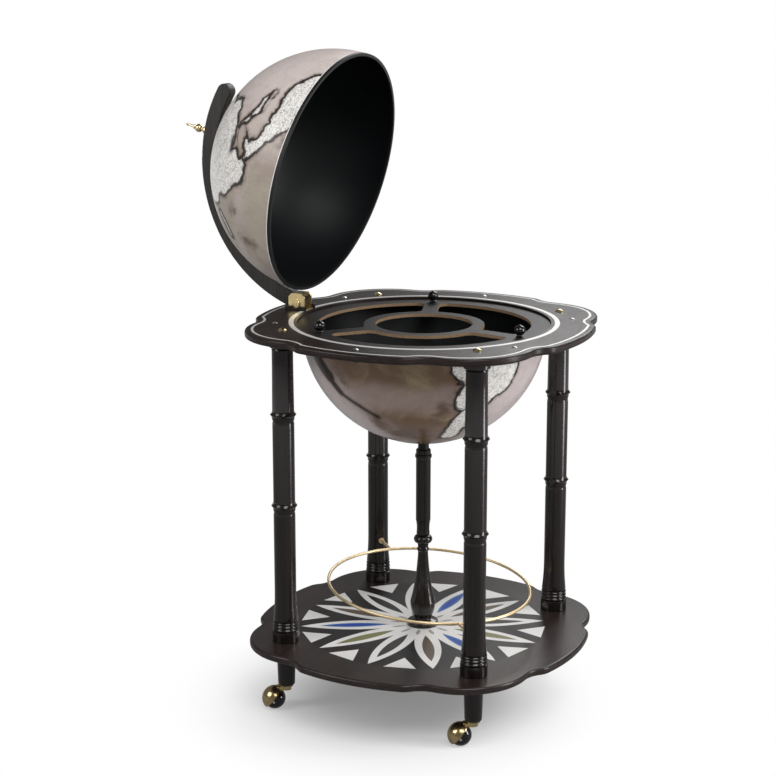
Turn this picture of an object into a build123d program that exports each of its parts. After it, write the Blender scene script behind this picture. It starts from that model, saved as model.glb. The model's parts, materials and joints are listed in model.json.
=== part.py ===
"""Globe bar: a hollow globe with a tip-back lid on a four-legged stand.

Millimetres, +Z up. The origin is on the stand's axis at floor level, the front is -Y and the
lid's hinge is at the back, +Y. The lid is stored open, resting on its stop.
"""
from build123d import *
import os
from math import asin, atan2, cos, degrees, hypot, radians, sin, sqrt

os.makedirs("parts", exist_ok=True)

# Stand heights
CASTER_HEIGHT = 42.0
FOOT_LENGTH = 66.0
BOARD_THICK = 12.0
LEG_LENGTH = 508.5

# Board outline, four-fold: side arc, convex shoulder, concave notch, lobe
SIDE_RADIUS = 345.0
SIDE_BORDER = 69.0
SHOULDER_RADIUS = 30.0
SHOULDER_SPREAD = 78.87
NOTCH_RADIUS = 45.0
LOBE_RADIUS = 110.0
LOBE_BORDER = 91.0
BOARD_EDGE_ROUND = 4.0

# Inlays
INLAY_DEPTH = 1.2
OUTLINE_INLAY_INSET = 10.0
OUTLINE_INLAY_WIDTH = 4.0
RING_INLAY_SETBACK = 6.0
RING_INLAY_WIDTH = 8.0
PANEL_LEG_GAP = 11.0
PANEL_COLUMN_GAP = 0.3
PANEL_THICK = 0.8

# Globe bowl, opening and tray
GLOBE_RADIUS = 200.0
BOWL_WALL = 4.0
OPENING_GAP = 6.0
FLANGE_LAP = 8.0
FLANGE_THICK = 4.0
COLLAR_RISE = 3.0
COLLAR_CLEARANCE = 0.4
EAR_COUNT = 6
EAR_SETBACK = 36.0
EAR_WIDTH = 24.0
BOWL_SCREW_RADIUS = 2.0
BOWL_SCREW_HEAD_RADIUS = 4.5
BOWL_SCREW_HEAD_RISE = 1.8
BOWL_SCREW_TAIL = 1.5
NUT_ACROSS_CORNERS = 8.0
NUT_THICK = 3.2
TRAY_THICK = 5.0
TRAY_CLEARANCE = 0.5
TRAY_HOLE_RADIUS = 79.0
TRAY_INNER_BAND = 19.0
TRAY_OUTER_BAND = 31.5
TRAY_ARM_WIDTH = 25.0
TRAY_ARM_ANGLE = 20.5
TRAY_ARM_COUNT = 3
TRAY_SLOT_CORNER = 14.0
KNOB_SETBACK = 9.0
KNOB_RADIUS = 9.0
KNOB_HEIGHT = 20.0
KNOB_SINK = 1.0
KNOB_SCREW_RADIUS = 1.8
KNOB_SCREW_HEAD_RADIUS = 3.6
KNOB_SCREW_REACH = 12.0

# Lid
DOME_WALL = 4.5
RIM_DROP = 3.0
RIM_HEIGHT = 5.0
RIM_LIP = 0.4
OPEN_ANGLE = 76.5
PIVOT_REACH = 29.5
PIVOT_RISE = 11.0

# Meridian arm
ARM_CENTRE_BACK = -6.0
ARM_GAP = 21.0
ARM_DEPTH = 26.0
ARM_THICK = 19.8
ARM_END_ANGLE = 107.0
ARM_EDGE_ROUND = 2.5
ARM_TABLE_GAP = 2.0
ARM_HEEL = 9.5
ARM_HEEL_RELIEF = 0.3

# Hinge bracket
BRACKET_BASE_THICK = 1.5
BRACKET_CHEEK_THICK = 3.0
BRACKET_SIDE_GAP = 0.1
BRACKET_BASE_LENGTH = 34.0
BRACKET_CHEEK_LENGTH = 30.0
BRACKET_RISE = 28.0
BRACKET_CORNER = 6.0
PIN_RADIUS = 3.0
RUNNING_FIT = 0.05
PIN_CAP_RADIUS = 7.0
PIN_CAP_THICK = 2.5
PIN_SPANNER_HOLE = 0.7
PIN_SPANNER_SPACING = 5.0
PIN_NUT_RADIUS = 5.5
PIN_NUT_THICK = 3.5
PIN_TAIL = 1.0
RAIL_STRIP_WIDTH = 6.0
RAIL_STRIP_HEIGHT = 7.5
RAIL_STRIP_LENGTH = 37.0
RAIL_STRIP_RELIEF = 0.6
HINGE_SCREW_RADIUS = 1.7
HINGE_SCREW_HEAD_RADIUS = 3.3
HINGE_SCREW_LENGTH = 11.0
HINGE_SCREW_INSET = 11.5
HINGE_SCREW_SPACING = 16.5

# Pole fixing
SPACER_RADIUS = 11.0
STUD_RADIUS = 3.0
STUD_TOP_REACH = 4.0
POLE_WASHER_RADIUS = 10.0
POLE_WASHER_THICK = 1.5
POLE_NUT_RADIUS = 6.5
POLE_NUT_THICK = 5.0
FINIAL_BASE_RADIUS = 6.0
FINIAL_BALL_RADIUS = 7.0
FINIAL_HEIGHT = 41.0
SEAT_GAP = 0.05

# Legs and feet
LEG_SETBACK = 33.0
LEG_FIRST_ANGLE = 45.0
LEG_BLOCK_RADIUS = 22.0
LEG_SHAFT_RADIUS = 17.75
LEG_NECK_RADIUS = 17.15
LEG_NODE_RADIUS = 20.25
LEG_NODE_LOW = 229.0
LEG_NODE_HIGH = 381.0
LEG_CAP_HEIGHT = 11.0
LEG_CAP_SET = 1.5
LEG_BASE_HEIGHT = 18.0
LEG_BEAD_HEIGHT = 5.0
LEG_BEAD_GAP = 0.6
LEG_BASE_TAPER = 46.0
LEG_NODE_HALF = 9.0
LEG_TOP_NECK = 24.0
LEG_BOLT_RADIUS = 4.0
LEG_BOLT_REACH = 40.0
LEG_BOLT_HEAD_RADIUS = 7.0
LEG_BOLT_HEAD_RISE = 4.5
FOOT_STUD_RADIUS = 3.5
FOOT_STUD_UP = 30.0
FOOT_STUD_DOWN = 20.0
FOOT_TOP_RADIUS = 16.0
FOOT_LOW_RADIUS = 14.0
FOOT_ROUND = 4.0

# Casters
WHEEL_RADIUS = 18.0
WHEEL_HALF_WIDTH = 15.0
WHEEL_EDGE_ROUND = 0.8
WHEEL_HUB_RADIUS = 3.2
WHEEL_HUB_GAP = 0.2
AXLE_RADIUS = 2.0
AXLE_PROUD = 0.8
HOOD_GAP = 1.2
HOOD_WALL = 1.8
HOOD_TILT = 40.0
HOOD_EDGE = 5.0
HOOD_SKIRT = 12.0
CASTER_TRAIL = 20.0
CASTER_HEADING = 116.0
BOSS_RADIUS = 7.0
BOSS_BRIDGE = 8.0
SOCKET_FLANGE_RADIUS = 11.0
SOCKET_FLANGE_THICK = 2.5
SOCKET_SLEEVE_RADIUS = 6.0
SOCKET_SLEEVE_LENGTH = 26.0
STEM_RADIUS = 4.0
STEM_LENGTH = 22.0
THRUST_GAP = 0.3

# Column
COLUMN_CAP_HEIGHT = 14.9
COLUMN_BASE_RADIUS = 26.0
COLUMN_BASE_THICK = 5.0
COLUMN_VASE_TOP = 40.0
COLUMN_NECK_TAPER = 26.0
COLUMN_KNOP_HALF = 7.0
COLUMN_VASE_RADIUS = 21.0
COLUMN_NECK_RADIUS = 8.5
COLUMN_KNOP_RADIUS = 15.5
COLUMN_SHAFT_RADIUS = 12.25
COLUMN_CAP_RADIUS = 9.0
COLUMN_SCREW_RADIUS = 3.0
COLUMN_SCREW_HEAD_RADIUS = 7.0
COLUMN_SCREW_HEAD_THICK = 3.0
COLUMN_SCREW_REACH = 45.0
ANCHOR_SCREW_RADIUS = 2.5
ANCHOR_SCREW_HEAD_RADIUS = 6.0
ANCHOR_SCREW_HEAD_THICK = 3.0
ANCHOR_SCREW_REACH = 25.0

# Bottle rail
RAIL_LEG_GAP = 69.3
RAIL_ROD_RADIUS = 2.5
RAIL_RISE = 68.4
RAIL_SHIFT = 11.65
RAIL_SHIFT_ANGLE = -48.0
RAIL_TILT = 4.3
RAIL_TILT_ANGLE = 265.2
RAIL_PIN_DEPTH = 10.0
RAIL_ROSETTE_RADIUS = 5.0
RAIL_ROSETTE_THICK = 3.0
RAIL_PIN_ANGLES = (45.0, 225.0)

# Derived plan sizes
OPENING_RADIUS = GLOBE_RADIUS + OPENING_GAP
FLANGE_REACH = OPENING_RADIUS + FLANGE_LAP
EAR_CIRCLE = OPENING_RADIUS + EAR_SETBACK
LEG_CIRCLE = OPENING_RADIUS + LEG_SETBACK
RING_INLAY_RADIUS = OPENING_RADIUS + RING_INLAY_SETBACK
TRAY_RADIUS = OPENING_RADIUS - TRAY_CLEARANCE
TRAY_SLOT_INNER = TRAY_HOLE_RADIUS + TRAY_INNER_BAND
TRAY_SLOT_OUTER = TRAY_RADIUS - TRAY_OUTER_BAND
KNOB_CIRCLE = TRAY_SLOT_OUTER + KNOB_SETBACK
SIDE_OFFSET = SIDE_RADIUS - OPENING_RADIUS - SIDE_BORDER
SIDE_HALF_ANGLE = degrees(asin(SHOULDER_SPREAD / (SIDE_RADIUS - SHOULDER_RADIUS)))
LOBE_OFFSET = OPENING_RADIUS + LOBE_BORDER - LOBE_RADIUS
PANEL_RADIUS = LEG_CIRCLE - LEG_BLOCK_RADIUS - PANEL_LEG_GAP
PANEL_HOLE_RADIUS = COLUMN_BASE_RADIUS + PANEL_COLUMN_GAP
PIVOT_BACK = GLOBE_RADIUS + PIVOT_REACH
BRACKET_FRONT = PIVOT_BACK - BRACKET_BASE_LENGTH / 2
ARM_INNER = GLOBE_RADIUS + ARM_GAP
ARM_OUTER = ARM_INNER + ARM_DEPTH
RAIL_RADIUS = LEG_CIRCLE - RAIL_LEG_GAP

# Derived heights
SHELF_TOP = CASTER_HEIGHT + FOOT_LENGTH + BOARD_THICK
SHELF_UNDER = SHELF_TOP - BOARD_THICK
TABLE_UNDER = SHELF_TOP + LEG_LENGTH
TABLE_TOP = TABLE_UNDER + BOARD_THICK
BOWL_BOTTOM = TABLE_TOP - GLOBE_RADIUS
COLUMN_TOP = BOWL_BOTTOM - COLUMN_CAP_HEIGHT
COLUMN_LENGTH = COLUMN_TOP - SHELF_TOP

# Derived depths below the table top
FLANGE_TOP = -BOARD_THICK
TRAY_UNDER = FLANGE_TOP + COLLAR_RISE
TRAY_TOP = TRAY_UNDER + TRAY_THICK

CHEEK_INSIDE = ARM_THICK / 2 + BRACKET_SIDE_GAP
CHEEK_OUTSIDE = CHEEK_INSIDE + BRACKET_CHEEK_THICK
HOOD_INNER = WHEEL_RADIUS + HOOD_GAP
HOOD_OUTER = HOOD_INNER + HOOD_WALL
EAR_ANGLES = [i * 360.0 / EAR_COUNT for i in range(EAR_COUNT)]
TRAY_ARM_ANGLES = [TRAY_ARM_ANGLE + i * 360.0 / TRAY_ARM_COUNT for i in range(TRAY_ARM_COUNT)]
CORNERS = {
    "back_right": LEG_FIRST_ANGLE,
    "back_left": LEG_FIRST_ANGLE + 90,
    "front_left": LEG_FIRST_ANGLE + 180,
    "front_right": LEG_FIRST_ANGLE + 270,
}
PIVOT_AXIS = Axis((0, PIVOT_BACK, TABLE_TOP + PIVOT_RISE), (1, 0, 0))


# Helpers

def polar(radius, angle):
    """Plan point at a radius and an angle in degrees."""
    return radius * cos(radians(angle)), radius * sin(radians(angle))


def at(shape, x=0.0, y=0.0, z=0.0):
    """Shape moved by x, y, z."""
    return Pos(x, y, z) * shape


def disc(radius, z0, z1, x=0.0, y=0.0):
    """Upright cylinder between two heights."""
    return at(Cylinder(radius, z1 - z0, align=(Align.CENTER, Align.CENTER, Align.MIN)), x, y, z0)


def ring(outer, inner, z0, z1):
    """Flat ring between two heights."""
    return disc(outer, z0, z1) - disc(inner, z0 - 1, z1 + 1)


def rod(start, end, radius):
    """Cylinder between two points."""
    start, end = Vector(*start), Vector(*end)
    along = end - start
    return extrude(Plane(origin=start, z_dir=along) * Circle(radius), amount=along.length)


def block(x0, x1, y0, y1, z0, z1):
    """Box between limits."""
    size = Box(x1 - x0, y1 - y0, z1 - z0, align=(Align.MIN, Align.MIN, Align.MIN))
    return at(size, x0, y0, z0)


def hexagon(radius, z0, z1, x=0.0, y=0.0):
    """Upright hexagonal prism."""
    return at(extrude(RegularPolygon(radius, 6), amount=z1 - z0), x, y, z0)


def lathe(path):
    """Solid turned about Z. Steps are (r, z), or (r, z, via_r, via_z) for an arc."""
    edges = []
    here = path[0]
    for step in list(path[1:]) + [path[0]]:
        start = Vector(here[0], 0, here[1])
        end = Vector(step[0], 0, step[1])
        if (end - start).length > 1e-6:
            if len(step) == 4:
                edges.append(Edge.make_three_point_arc(start, Vector(step[2], 0, step[3]), end))
            else:
                edges.append(Edge.make_line(start, end))
        here = step
    return revolve(Face(Wire(edges)), axis=Axis.Z)


def crown(radius, z0, rise):
    """Domed step of a turned profile from (radius, z0) up to the axis."""
    ball = (radius**2 + rise**2) / (2 * rise)
    half = atan2(radius, ball - rise) / 2
    return (0, z0 + rise, ball * sin(half), z0 + rise - ball * (1 - cos(half)))


def bead(radius, swell, z0, z1):
    """Half-round step of a turned profile from z0 to z1."""
    return (radius, z1, swell, (z0 + z1) / 2)


def on_sphere(radius, angle):
    """Radius and height of a point on a sphere's section, angle from the equator."""
    return radius * cos(radians(angle)), radius * sin(radians(angle))


def shell(outer, inner, edge_height, hole, side):
    """Half of a hollow ball: side 1 is above edge_height, side -1 below."""
    a_out = degrees(atan2(edge_height, sqrt(outer**2 - edge_height**2)))
    a_in = degrees(atan2(edge_height, sqrt(inner**2 - edge_height**2)))
    top_out = side * degrees(atan2(sqrt(outer**2 - hole**2), hole))
    top_in = side * degrees(atan2(sqrt(inner**2 - hole**2), hole))
    return lathe([
        on_sphere(outer, a_out),
        on_sphere(outer, top_out) + on_sphere(outer, (a_out + top_out) / 2),
        on_sphere(inner, top_in),
        on_sphere(inner, a_in) + on_sphere(inner, (a_in + top_in) / 2),
    ])


def arc_between(start, end, centre, radius):
    """Minor arc about a centre between two points on it."""
    mx = start[0] + end[0] - 2 * centre[0]
    my = start[1] + end[1] - 2 * centre[1]
    scale = radius / hypot(mx, my)
    return ThreePointArc(start, (centre[0] + mx * scale, centre[1] + my * scale), end)


def toward(origin, target, distance):
    """Point at a distance from origin toward target."""
    span = hypot(target[0] - origin[0], target[1] - origin[1])
    return tuple(o + (t - o) * distance / span for o, t in zip(origin, target))


def meet(c1, r1, c2, r2):
    """Meeting point of two circles that lies farther from the origin."""
    dx, dy = c2[0] - c1[0], c2[1] - c1[1]
    span = hypot(dx, dy)
    along = (r1**2 - r2**2 + span**2) / (2 * span)
    off = sqrt(r1**2 - along**2)
    points = [
        (c1[0] + (along * dx - s * off * dy) / span, c1[1] + (along * dy + s * off * dx) / span)
        for s in (1, -1)
    ]
    return max(points, key=lambda p: hypot(*p))


def board_face(inset=0.0):
    """Face of the four-lobed board, moved in from its edge by inset."""
    side_c = (-SIDE_OFFSET, 0.0)
    shoulder_c = tuple(
        a + b for a, b in zip(side_c, polar(SIDE_RADIUS - SHOULDER_RADIUS, SIDE_HALF_ANGLE))
    )
    lobe_c = polar(LOBE_OFFSET, 45.0)
    notch_c = meet(shoulder_c, SHOULDER_RADIUS + NOTCH_RADIUS, lobe_c, LOBE_RADIUS + NOTCH_RADIUS)
    p1 = toward(side_c, shoulder_c, SIDE_RADIUS - inset)
    p2 = toward(shoulder_c, notch_c, SHOULDER_RADIUS - inset)
    p3 = toward(lobe_c, notch_c, LOBE_RADIUS - inset)
    lobe_side = [(p1, p2, shoulder_c, SHOULDER_RADIUS - inset), (p2, p3, notch_c, NOTCH_RADIUS + inset)]
    flip = lambda p: (p[1], p[0])
    curves = [arc_between((p1[0], -p1[1]), p1, side_c, SIDE_RADIUS - inset)]
    curves += [arc_between(*piece) for piece in lobe_side]
    curves.append(arc_between(p3, flip(p3), lobe_c, LOBE_RADIUS - inset))
    curves += [arc_between(flip(b), flip(a), flip(c), r) for a, b, c, r in reversed(lobe_side)]
    quarter = Curve() + curves
    whole = [edge.rotate(Axis.Z, 90 * k) for k in range(4) for edge in quarter.edges()]
    return Face(Wire(whole))


def board(z0):
    """Board slab with rounded long edges, standing on z0."""
    slab = at(extrude(board_face(), amount=BOARD_THICK), z=z0)
    rims = slab.faces().sort_by(Axis.Z)
    return fillet(rims[0].outer_wire().edges() + rims[-1].outer_wire().edges(), BOARD_EDGE_ROUND)


def band(face_out, face_in, z0, z1):
    """Flat strip between two outlines."""
    return at(extrude(face_out - face_in, amount=z1 - z0), z=z0)


def save(node, shape):
    """Write one node."""
    shape.label = node
    export_step(shape, "parts/" + node + ".step")


def opened(shape):
    """Lid piece turned from its closed place to its open place."""
    return shape.rotate(PIVOT_AXIS, -OPEN_ANGLE)


def group(pieces):
    """Several separate pieces as one node."""
    return Compound(children=list(pieces))


# Table board and its inlays

def table_pieces():
    inlay_low = TABLE_TOP - INLAY_DEPTH
    strip = band(
        board_face(OUTLINE_INLAY_INSET),
        board_face(OUTLINE_INLAY_INSET + OUTLINE_INLAY_WIDTH),
        inlay_low,
        TABLE_TOP,
    )
    circle = ring(RING_INLAY_RADIUS + RING_INLAY_WIDTH, RING_INLAY_RADIUS, inlay_low, TABLE_TOP)
    top = board(TABLE_UNDER) - disc(OPENING_RADIUS, TABLE_UNDER - 1, TABLE_TOP + 1)
    top -= strip
    top -= circle
    for angle in CORNERS.values():
        top -= disc(LEG_BOLT_RADIUS, TABLE_UNDER - 1, TABLE_TOP + 1, *polar(LEG_CIRCLE, angle))
    for angle in EAR_ANGLES:
        top -= disc(BOWL_SCREW_RADIUS, TABLE_UNDER - 1, TABLE_TOP + 1, *polar(EAR_CIRCLE, angle))
    for y in hinge_screw_places():
        top -= at(hinge_screw_body(), y=y, z=TABLE_TOP)
    save("table_board", top)
    save("outline_inlay", strip)
    save("ring_inlay", circle)


# Bowl, its seat ring with flange, collar and ears, screws and nuts

def bowl_pieces():
    low = FLANGE_TOP - FLANGE_THICK
    inner = GLOBE_RADIUS - BOWL_WALL
    collar = OPENING_RADIUS - COLLAR_CLEARANCE
    save("bowl", at(shell(GLOBE_RADIUS, inner, FLANGE_TOP, ANCHOR_SCREW_RADIUS, -1), z=TABLE_TOP))
    seat = GLOBE_RADIUS + SEAT_GAP
    a_low, a_top, a_lip = [
        degrees(atan2(z, sqrt(r**2 - z**2)))
        for z, r in ((low, seat), (FLANGE_TOP, seat), (TRAY_UNDER, inner))
    ]
    body = lathe([
        on_sphere(seat, a_top),
        on_sphere(seat, a_low) + on_sphere(seat, (a_low + a_top) / 2),
        (FLANGE_REACH, low),
        (FLANGE_REACH, FLANGE_TOP),
        (collar, FLANGE_TOP),
        (collar, TRAY_UNDER),
        on_sphere(inner, a_lip),
        (sqrt(inner**2 - FLANGE_TOP**2), FLANGE_TOP + SEAT_GAP),
        (sqrt(seat**2 - FLANGE_TOP**2), FLANGE_TOP + SEAT_GAP),
    ])
    for angle in EAR_ANGLES:
        tab = block(collar, EAR_CIRCLE, -EAR_WIDTH / 2, EAR_WIDTH / 2, low, FLANGE_TOP)
        tab += disc(EAR_WIDTH / 2, low, FLANGE_TOP, EAR_CIRCLE)
        tab -= disc(BOWL_SCREW_RADIUS, low - 1, FLANGE_TOP + 1, EAR_CIRCLE)
        body += Rot(0, 0, angle) * tab
    save("bowl_ring", at(body, z=TABLE_TOP))
    screws, nuts = [], []
    for angle in EAR_ANGLES:
        x, y = polar(EAR_CIRCLE, angle)
        screw = lathe([
            (0, 0),
            (BOWL_SCREW_HEAD_RADIUS, 0),
            crown(BOWL_SCREW_HEAD_RADIUS, 0, BOWL_SCREW_HEAD_RISE),
        ])
        screw += disc(BOWL_SCREW_RADIUS, low - NUT_THICK - BOWL_SCREW_TAIL, 0)
        slot = block(-BOWL_SCREW_HEAD_RADIUS * 0.6, BOWL_SCREW_HEAD_RADIUS * 0.6, -0.4, 0.4,
                     BOWL_SCREW_HEAD_RISE * 0.45, BOWL_SCREW_HEAD_RISE + 1)
        screw -= slot + Rot(0, 0, 90) * slot
        nut = hexagon(NUT_ACROSS_CORNERS / 2, low - NUT_THICK, low)
        nut -= disc(BOWL_SCREW_RADIUS, low - NUT_THICK - 1, low + 1)
        screws.append(at(Rot(0, 0, angle) * screw, x, y, TABLE_TOP))
        nuts.append(at(Rot(0, 0, angle) * nut, x, y, TABLE_TOP))
    save("bowl_screws", group(screws))
    save("bowl_nuts", group(nuts))


# Tray, knobs and their screws

def tray_pieces():
    plate = ring(TRAY_RADIUS, TRAY_HOLE_RADIUS, TRAY_UNDER, TRAY_TOP)
    slots = ring(TRAY_SLOT_OUTER, TRAY_SLOT_INNER, TRAY_UNDER - 1, TRAY_TOP + 1)
    for angle in TRAY_ARM_ANGLES:
        arm = block(TRAY_SLOT_INNER - 20, TRAY_SLOT_OUTER + 20, -TRAY_ARM_WIDTH / 2,
                    TRAY_ARM_WIDTH / 2, TRAY_UNDER - 2, TRAY_TOP + 2)
        slots -= Rot(0, 0, angle) * arm
    slots = fillet(slots.edges().filter_by(Axis.Z), TRAY_SLOT_CORNER)
    plate -= slots
    knobs, screws = [], []
    for angle in TRAY_ARM_ANGLES:
        x, y = polar(KNOB_CIRCLE, angle)
        sink = cone_body(KNOB_SCREW_RADIUS, KNOB_SCREW_HEAD_RADIUS, TRAY_THICK + KNOB_SCREW_REACH)
        screw = at(Rot(180, 0, 0) * sink, x, y, TRAY_UNDER)
        drive = at(Rot(180, 0, 0) * cross_slot(KNOB_SCREW_HEAD_RADIUS), x, y, TRAY_UNDER)
        foot = KNOB_RADIUS * 0.62
        plate -= screw + disc(foot + SEAT_GAP, TRAY_TOP - KNOB_SINK, TRAY_TOP + 1, x, y)
        knob = lathe([
            (0, -KNOB_SINK),
            (foot, -KNOB_SINK),
            (foot, KNOB_HEIGHT * 0.1),
            (KNOB_RADIUS * 0.5, KNOB_HEIGHT * 0.2, KNOB_RADIUS * 0.49, KNOB_HEIGHT * 0.14),
            (KNOB_RADIUS, KNOB_HEIGHT * 0.52, KNOB_RADIUS * 0.86, KNOB_HEIGHT * 0.32),
            (KNOB_RADIUS * 0.3, KNOB_HEIGHT * 0.93, KNOB_RADIUS * 0.84, KNOB_HEIGHT * 0.76),
            crown(KNOB_RADIUS * 0.3, KNOB_HEIGHT * 0.93, KNOB_HEIGHT * 0.07),
        ])
        knob = at(knob, x, y, TRAY_TOP) - screw
        knobs.append(at(knob, z=TABLE_TOP))
        screws.append(at(screw - drive, z=TABLE_TOP))
    save("tray", at(plate, z=TABLE_TOP))
    save("tray_knobs", group(knobs))
    save("tray_screws", group(screws))


def cone_body(radius, head_radius, length):
    """Countersunk screw without its drive, hanging down from z 0, its head flush with z 0."""
    sink = head_radius - radius
    return lathe([
        (0, 0),
        (head_radius, 0),
        (head_radius, -0.4),
        (radius, -0.4 - sink),
        (radius, -length + radius),
        (0, -length),
    ])


def cross_slot(radius):
    """Cross recess for a countersunk head at z 0."""
    slot = block(-radius * 0.6, radius * 0.6, -0.4, 0.4, -0.9, 1)
    return slot + Rot(0, 0, 90) * slot


# Lid: dome, rim edging, meridian arm and pole fixing, built closed and turned open

def arm_sketch():
    """Side face of the arm in (y, z) about the table top, in the closed place."""
    centre = (ARM_CENTRE_BACK, 0.0)
    turn = Circle(ARM_OUTER) - Circle(ARM_INNER)
    far = 2 * ARM_OUTER
    wedge = make_face(Polyline(
        (0, 0), (far, -far * 0.1), (far, far), (-far, far), polar(far, ARM_END_ANGLE), (0, 0)
    ))
    face = turn & wedge
    face += Pos(*polar(ARM_OUTER - ARM_DEPTH / 2, ARM_END_ANGLE)) * Circle(ARM_DEPTH / 2)
    face = Pos(*centre) * face
    face &= Pos(-far, ARM_TABLE_GAP) * Rectangle(3 * far, far, align=(Align.MIN, Align.MIN))
    hub = (PIVOT_BACK, PIVOT_RISE)
    lean = -(90 - OPEN_ANGLE)
    face -= Pos(*hub) * Rot(0, 0, lean) * Pos(ARM_HEEL, -far / 2) * Rectangle(
        far, far, align=(Align.MIN, Align.MIN)
    )
    relief = ARM_HEEL - ARM_HEEL_RELIEF
    toe = make_face(Polyline((0, 0), (0, -far), (far, -far), polar(far, lean), (0, 0)))
    face -= Pos(*hub) * (toe - Circle(relief))
    return face


def lid_pieces():
    inner = GLOBE_RADIUS - DOME_WALL
    edge = -RIM_DROP + RIM_HEIGHT
    dome = shell(GLOBE_RADIUS, inner, edge, STUD_RADIUS, 1)
    rim_in = sqrt(inner**2 - edge**2)
    rim = ring(GLOBE_RADIUS + RIM_LIP, rim_in, -RIM_DROP, edge)
    lips = rim.edges().filter_by(GeomType.CIRCLE).sort_by(SortBy.RADIUS)[-2:]
    rim = fillet(lips, RIM_LIP)
    profile = arm_sketch()
    side = Plane.YZ * profile
    arm = extrude(side, amount=ARM_THICK / 2, both=True)
    outline = [
        e for e in arm.edges()
        if e.geom_type == GeomType.CIRCLE and e.radius > ARM_DEPTH / 2 - 0.01
    ]
    arm = fillet(outline, ARM_EDGE_ROUND)
    arm -= rod((-ARM_THICK, PIVOT_BACK, PIVOT_RISE), (ARM_THICK, PIVOT_BACK, PIVOT_RISE),
               PIN_RADIUS + RUNNING_FIT)
    arm_in = pole_height(ARM_INNER)
    arm_out = pole_height(ARM_OUTER)
    stud_top = arm_out + STUD_TOP_REACH
    washer_low = inner - POLE_WASHER_THICK
    nut_low = washer_low - POLE_NUT_THICK
    arm -= disc(STUD_RADIUS, arm_in - 5, arm_out + 5)
    bend = rod((-50, ARM_CENTRE_BACK, 0), (50, ARM_CENTRE_BACK, 0), ARM_INNER - SEAT_GAP)
    spacer = (disc(SPACER_RADIUS, inner, arm_out) & bend) - Sphere(GLOBE_RADIUS + SEAT_GAP)
    spacer -= disc(STUD_RADIUS, inner - 5, arm_out)
    stud = disc(STUD_RADIUS, nut_low - 1, stud_top)
    nut = disc(POLE_WASHER_RADIUS, washer_low - 1, inner + 1) & Sphere(inner - SEAT_GAP)
    nut += hexagon(POLE_NUT_RADIUS, nut_low, washer_low)
    nut -= disc(STUD_RADIUS, nut_low - 2, inner + 2)
    b, n, k = FINIAL_BASE_RADIUS, FINIAL_BALL_RADIUS, FINIAL_HEIGHT
    ball_z = k * 0.37
    finial = lathe([
        (0, -3),
        (b, -3),
        (b, k * 0.06),
        (b * 0.72, k * 0.12, b * 0.95, k * 0.11),
        (b * 0.55, k * 0.16),
        (n * 0.62, ball_z - n * 0.78, n * 0.52, ball_z - n * 0.86),
        (n * 0.5, ball_z + n * 0.866, n, ball_z),
        (n * 0.62, ball_z + n * 1.05),
        (n * 0.36, ball_z + n * 1.25, n * 0.6, ball_z + n * 1.18),
        (n * 0.24, k * 0.84, n * 0.3, k * 0.7),
        (n * 0.2, k * 0.88),
        (n * 0.2, k * 0.96, n * 0.36, k * 0.92),
        crown(n * 0.2, k * 0.96, k * 0.04),
    ])
    bend_out = rod((-50, ARM_CENTRE_BACK, 0), (50, ARM_CENTRE_BACK, 0), ARM_OUTER + SEAT_GAP)
    finial = at(finial, z=arm_out) - bend_out - disc(STUD_RADIUS, arm_out - 5, stud_top)
    pieces = {
        "dome": dome,
        "lid_rim": rim,
        "meridian_arm": arm,
        "pole_spacer": spacer,
        "pole_stud": stud,
        "pole_nut": nut,
        "finial": finial,
    }
    for node, shape in pieces.items():
        save(node, opened(at(shape, z=TABLE_TOP)))


def pole_height(radius):
    """Height above the table top where the arm's curve crosses the globe's axis."""
    return sqrt(radius**2 - ARM_CENTRE_BACK**2)


# Hinge

def hinge_screw_places():
    first = BRACKET_FRONT + HINGE_SCREW_INSET
    return [first, first + HINGE_SCREW_SPACING]


def hinge_screw_body():
    """Hinge screw without its drive, on the axis, heights from the table top."""
    body = cone_body(HINGE_SCREW_RADIUS, HINGE_SCREW_HEAD_RADIUS, HINGE_SCREW_LENGTH)
    return at(body, z=BRACKET_BASE_THICK)


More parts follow.
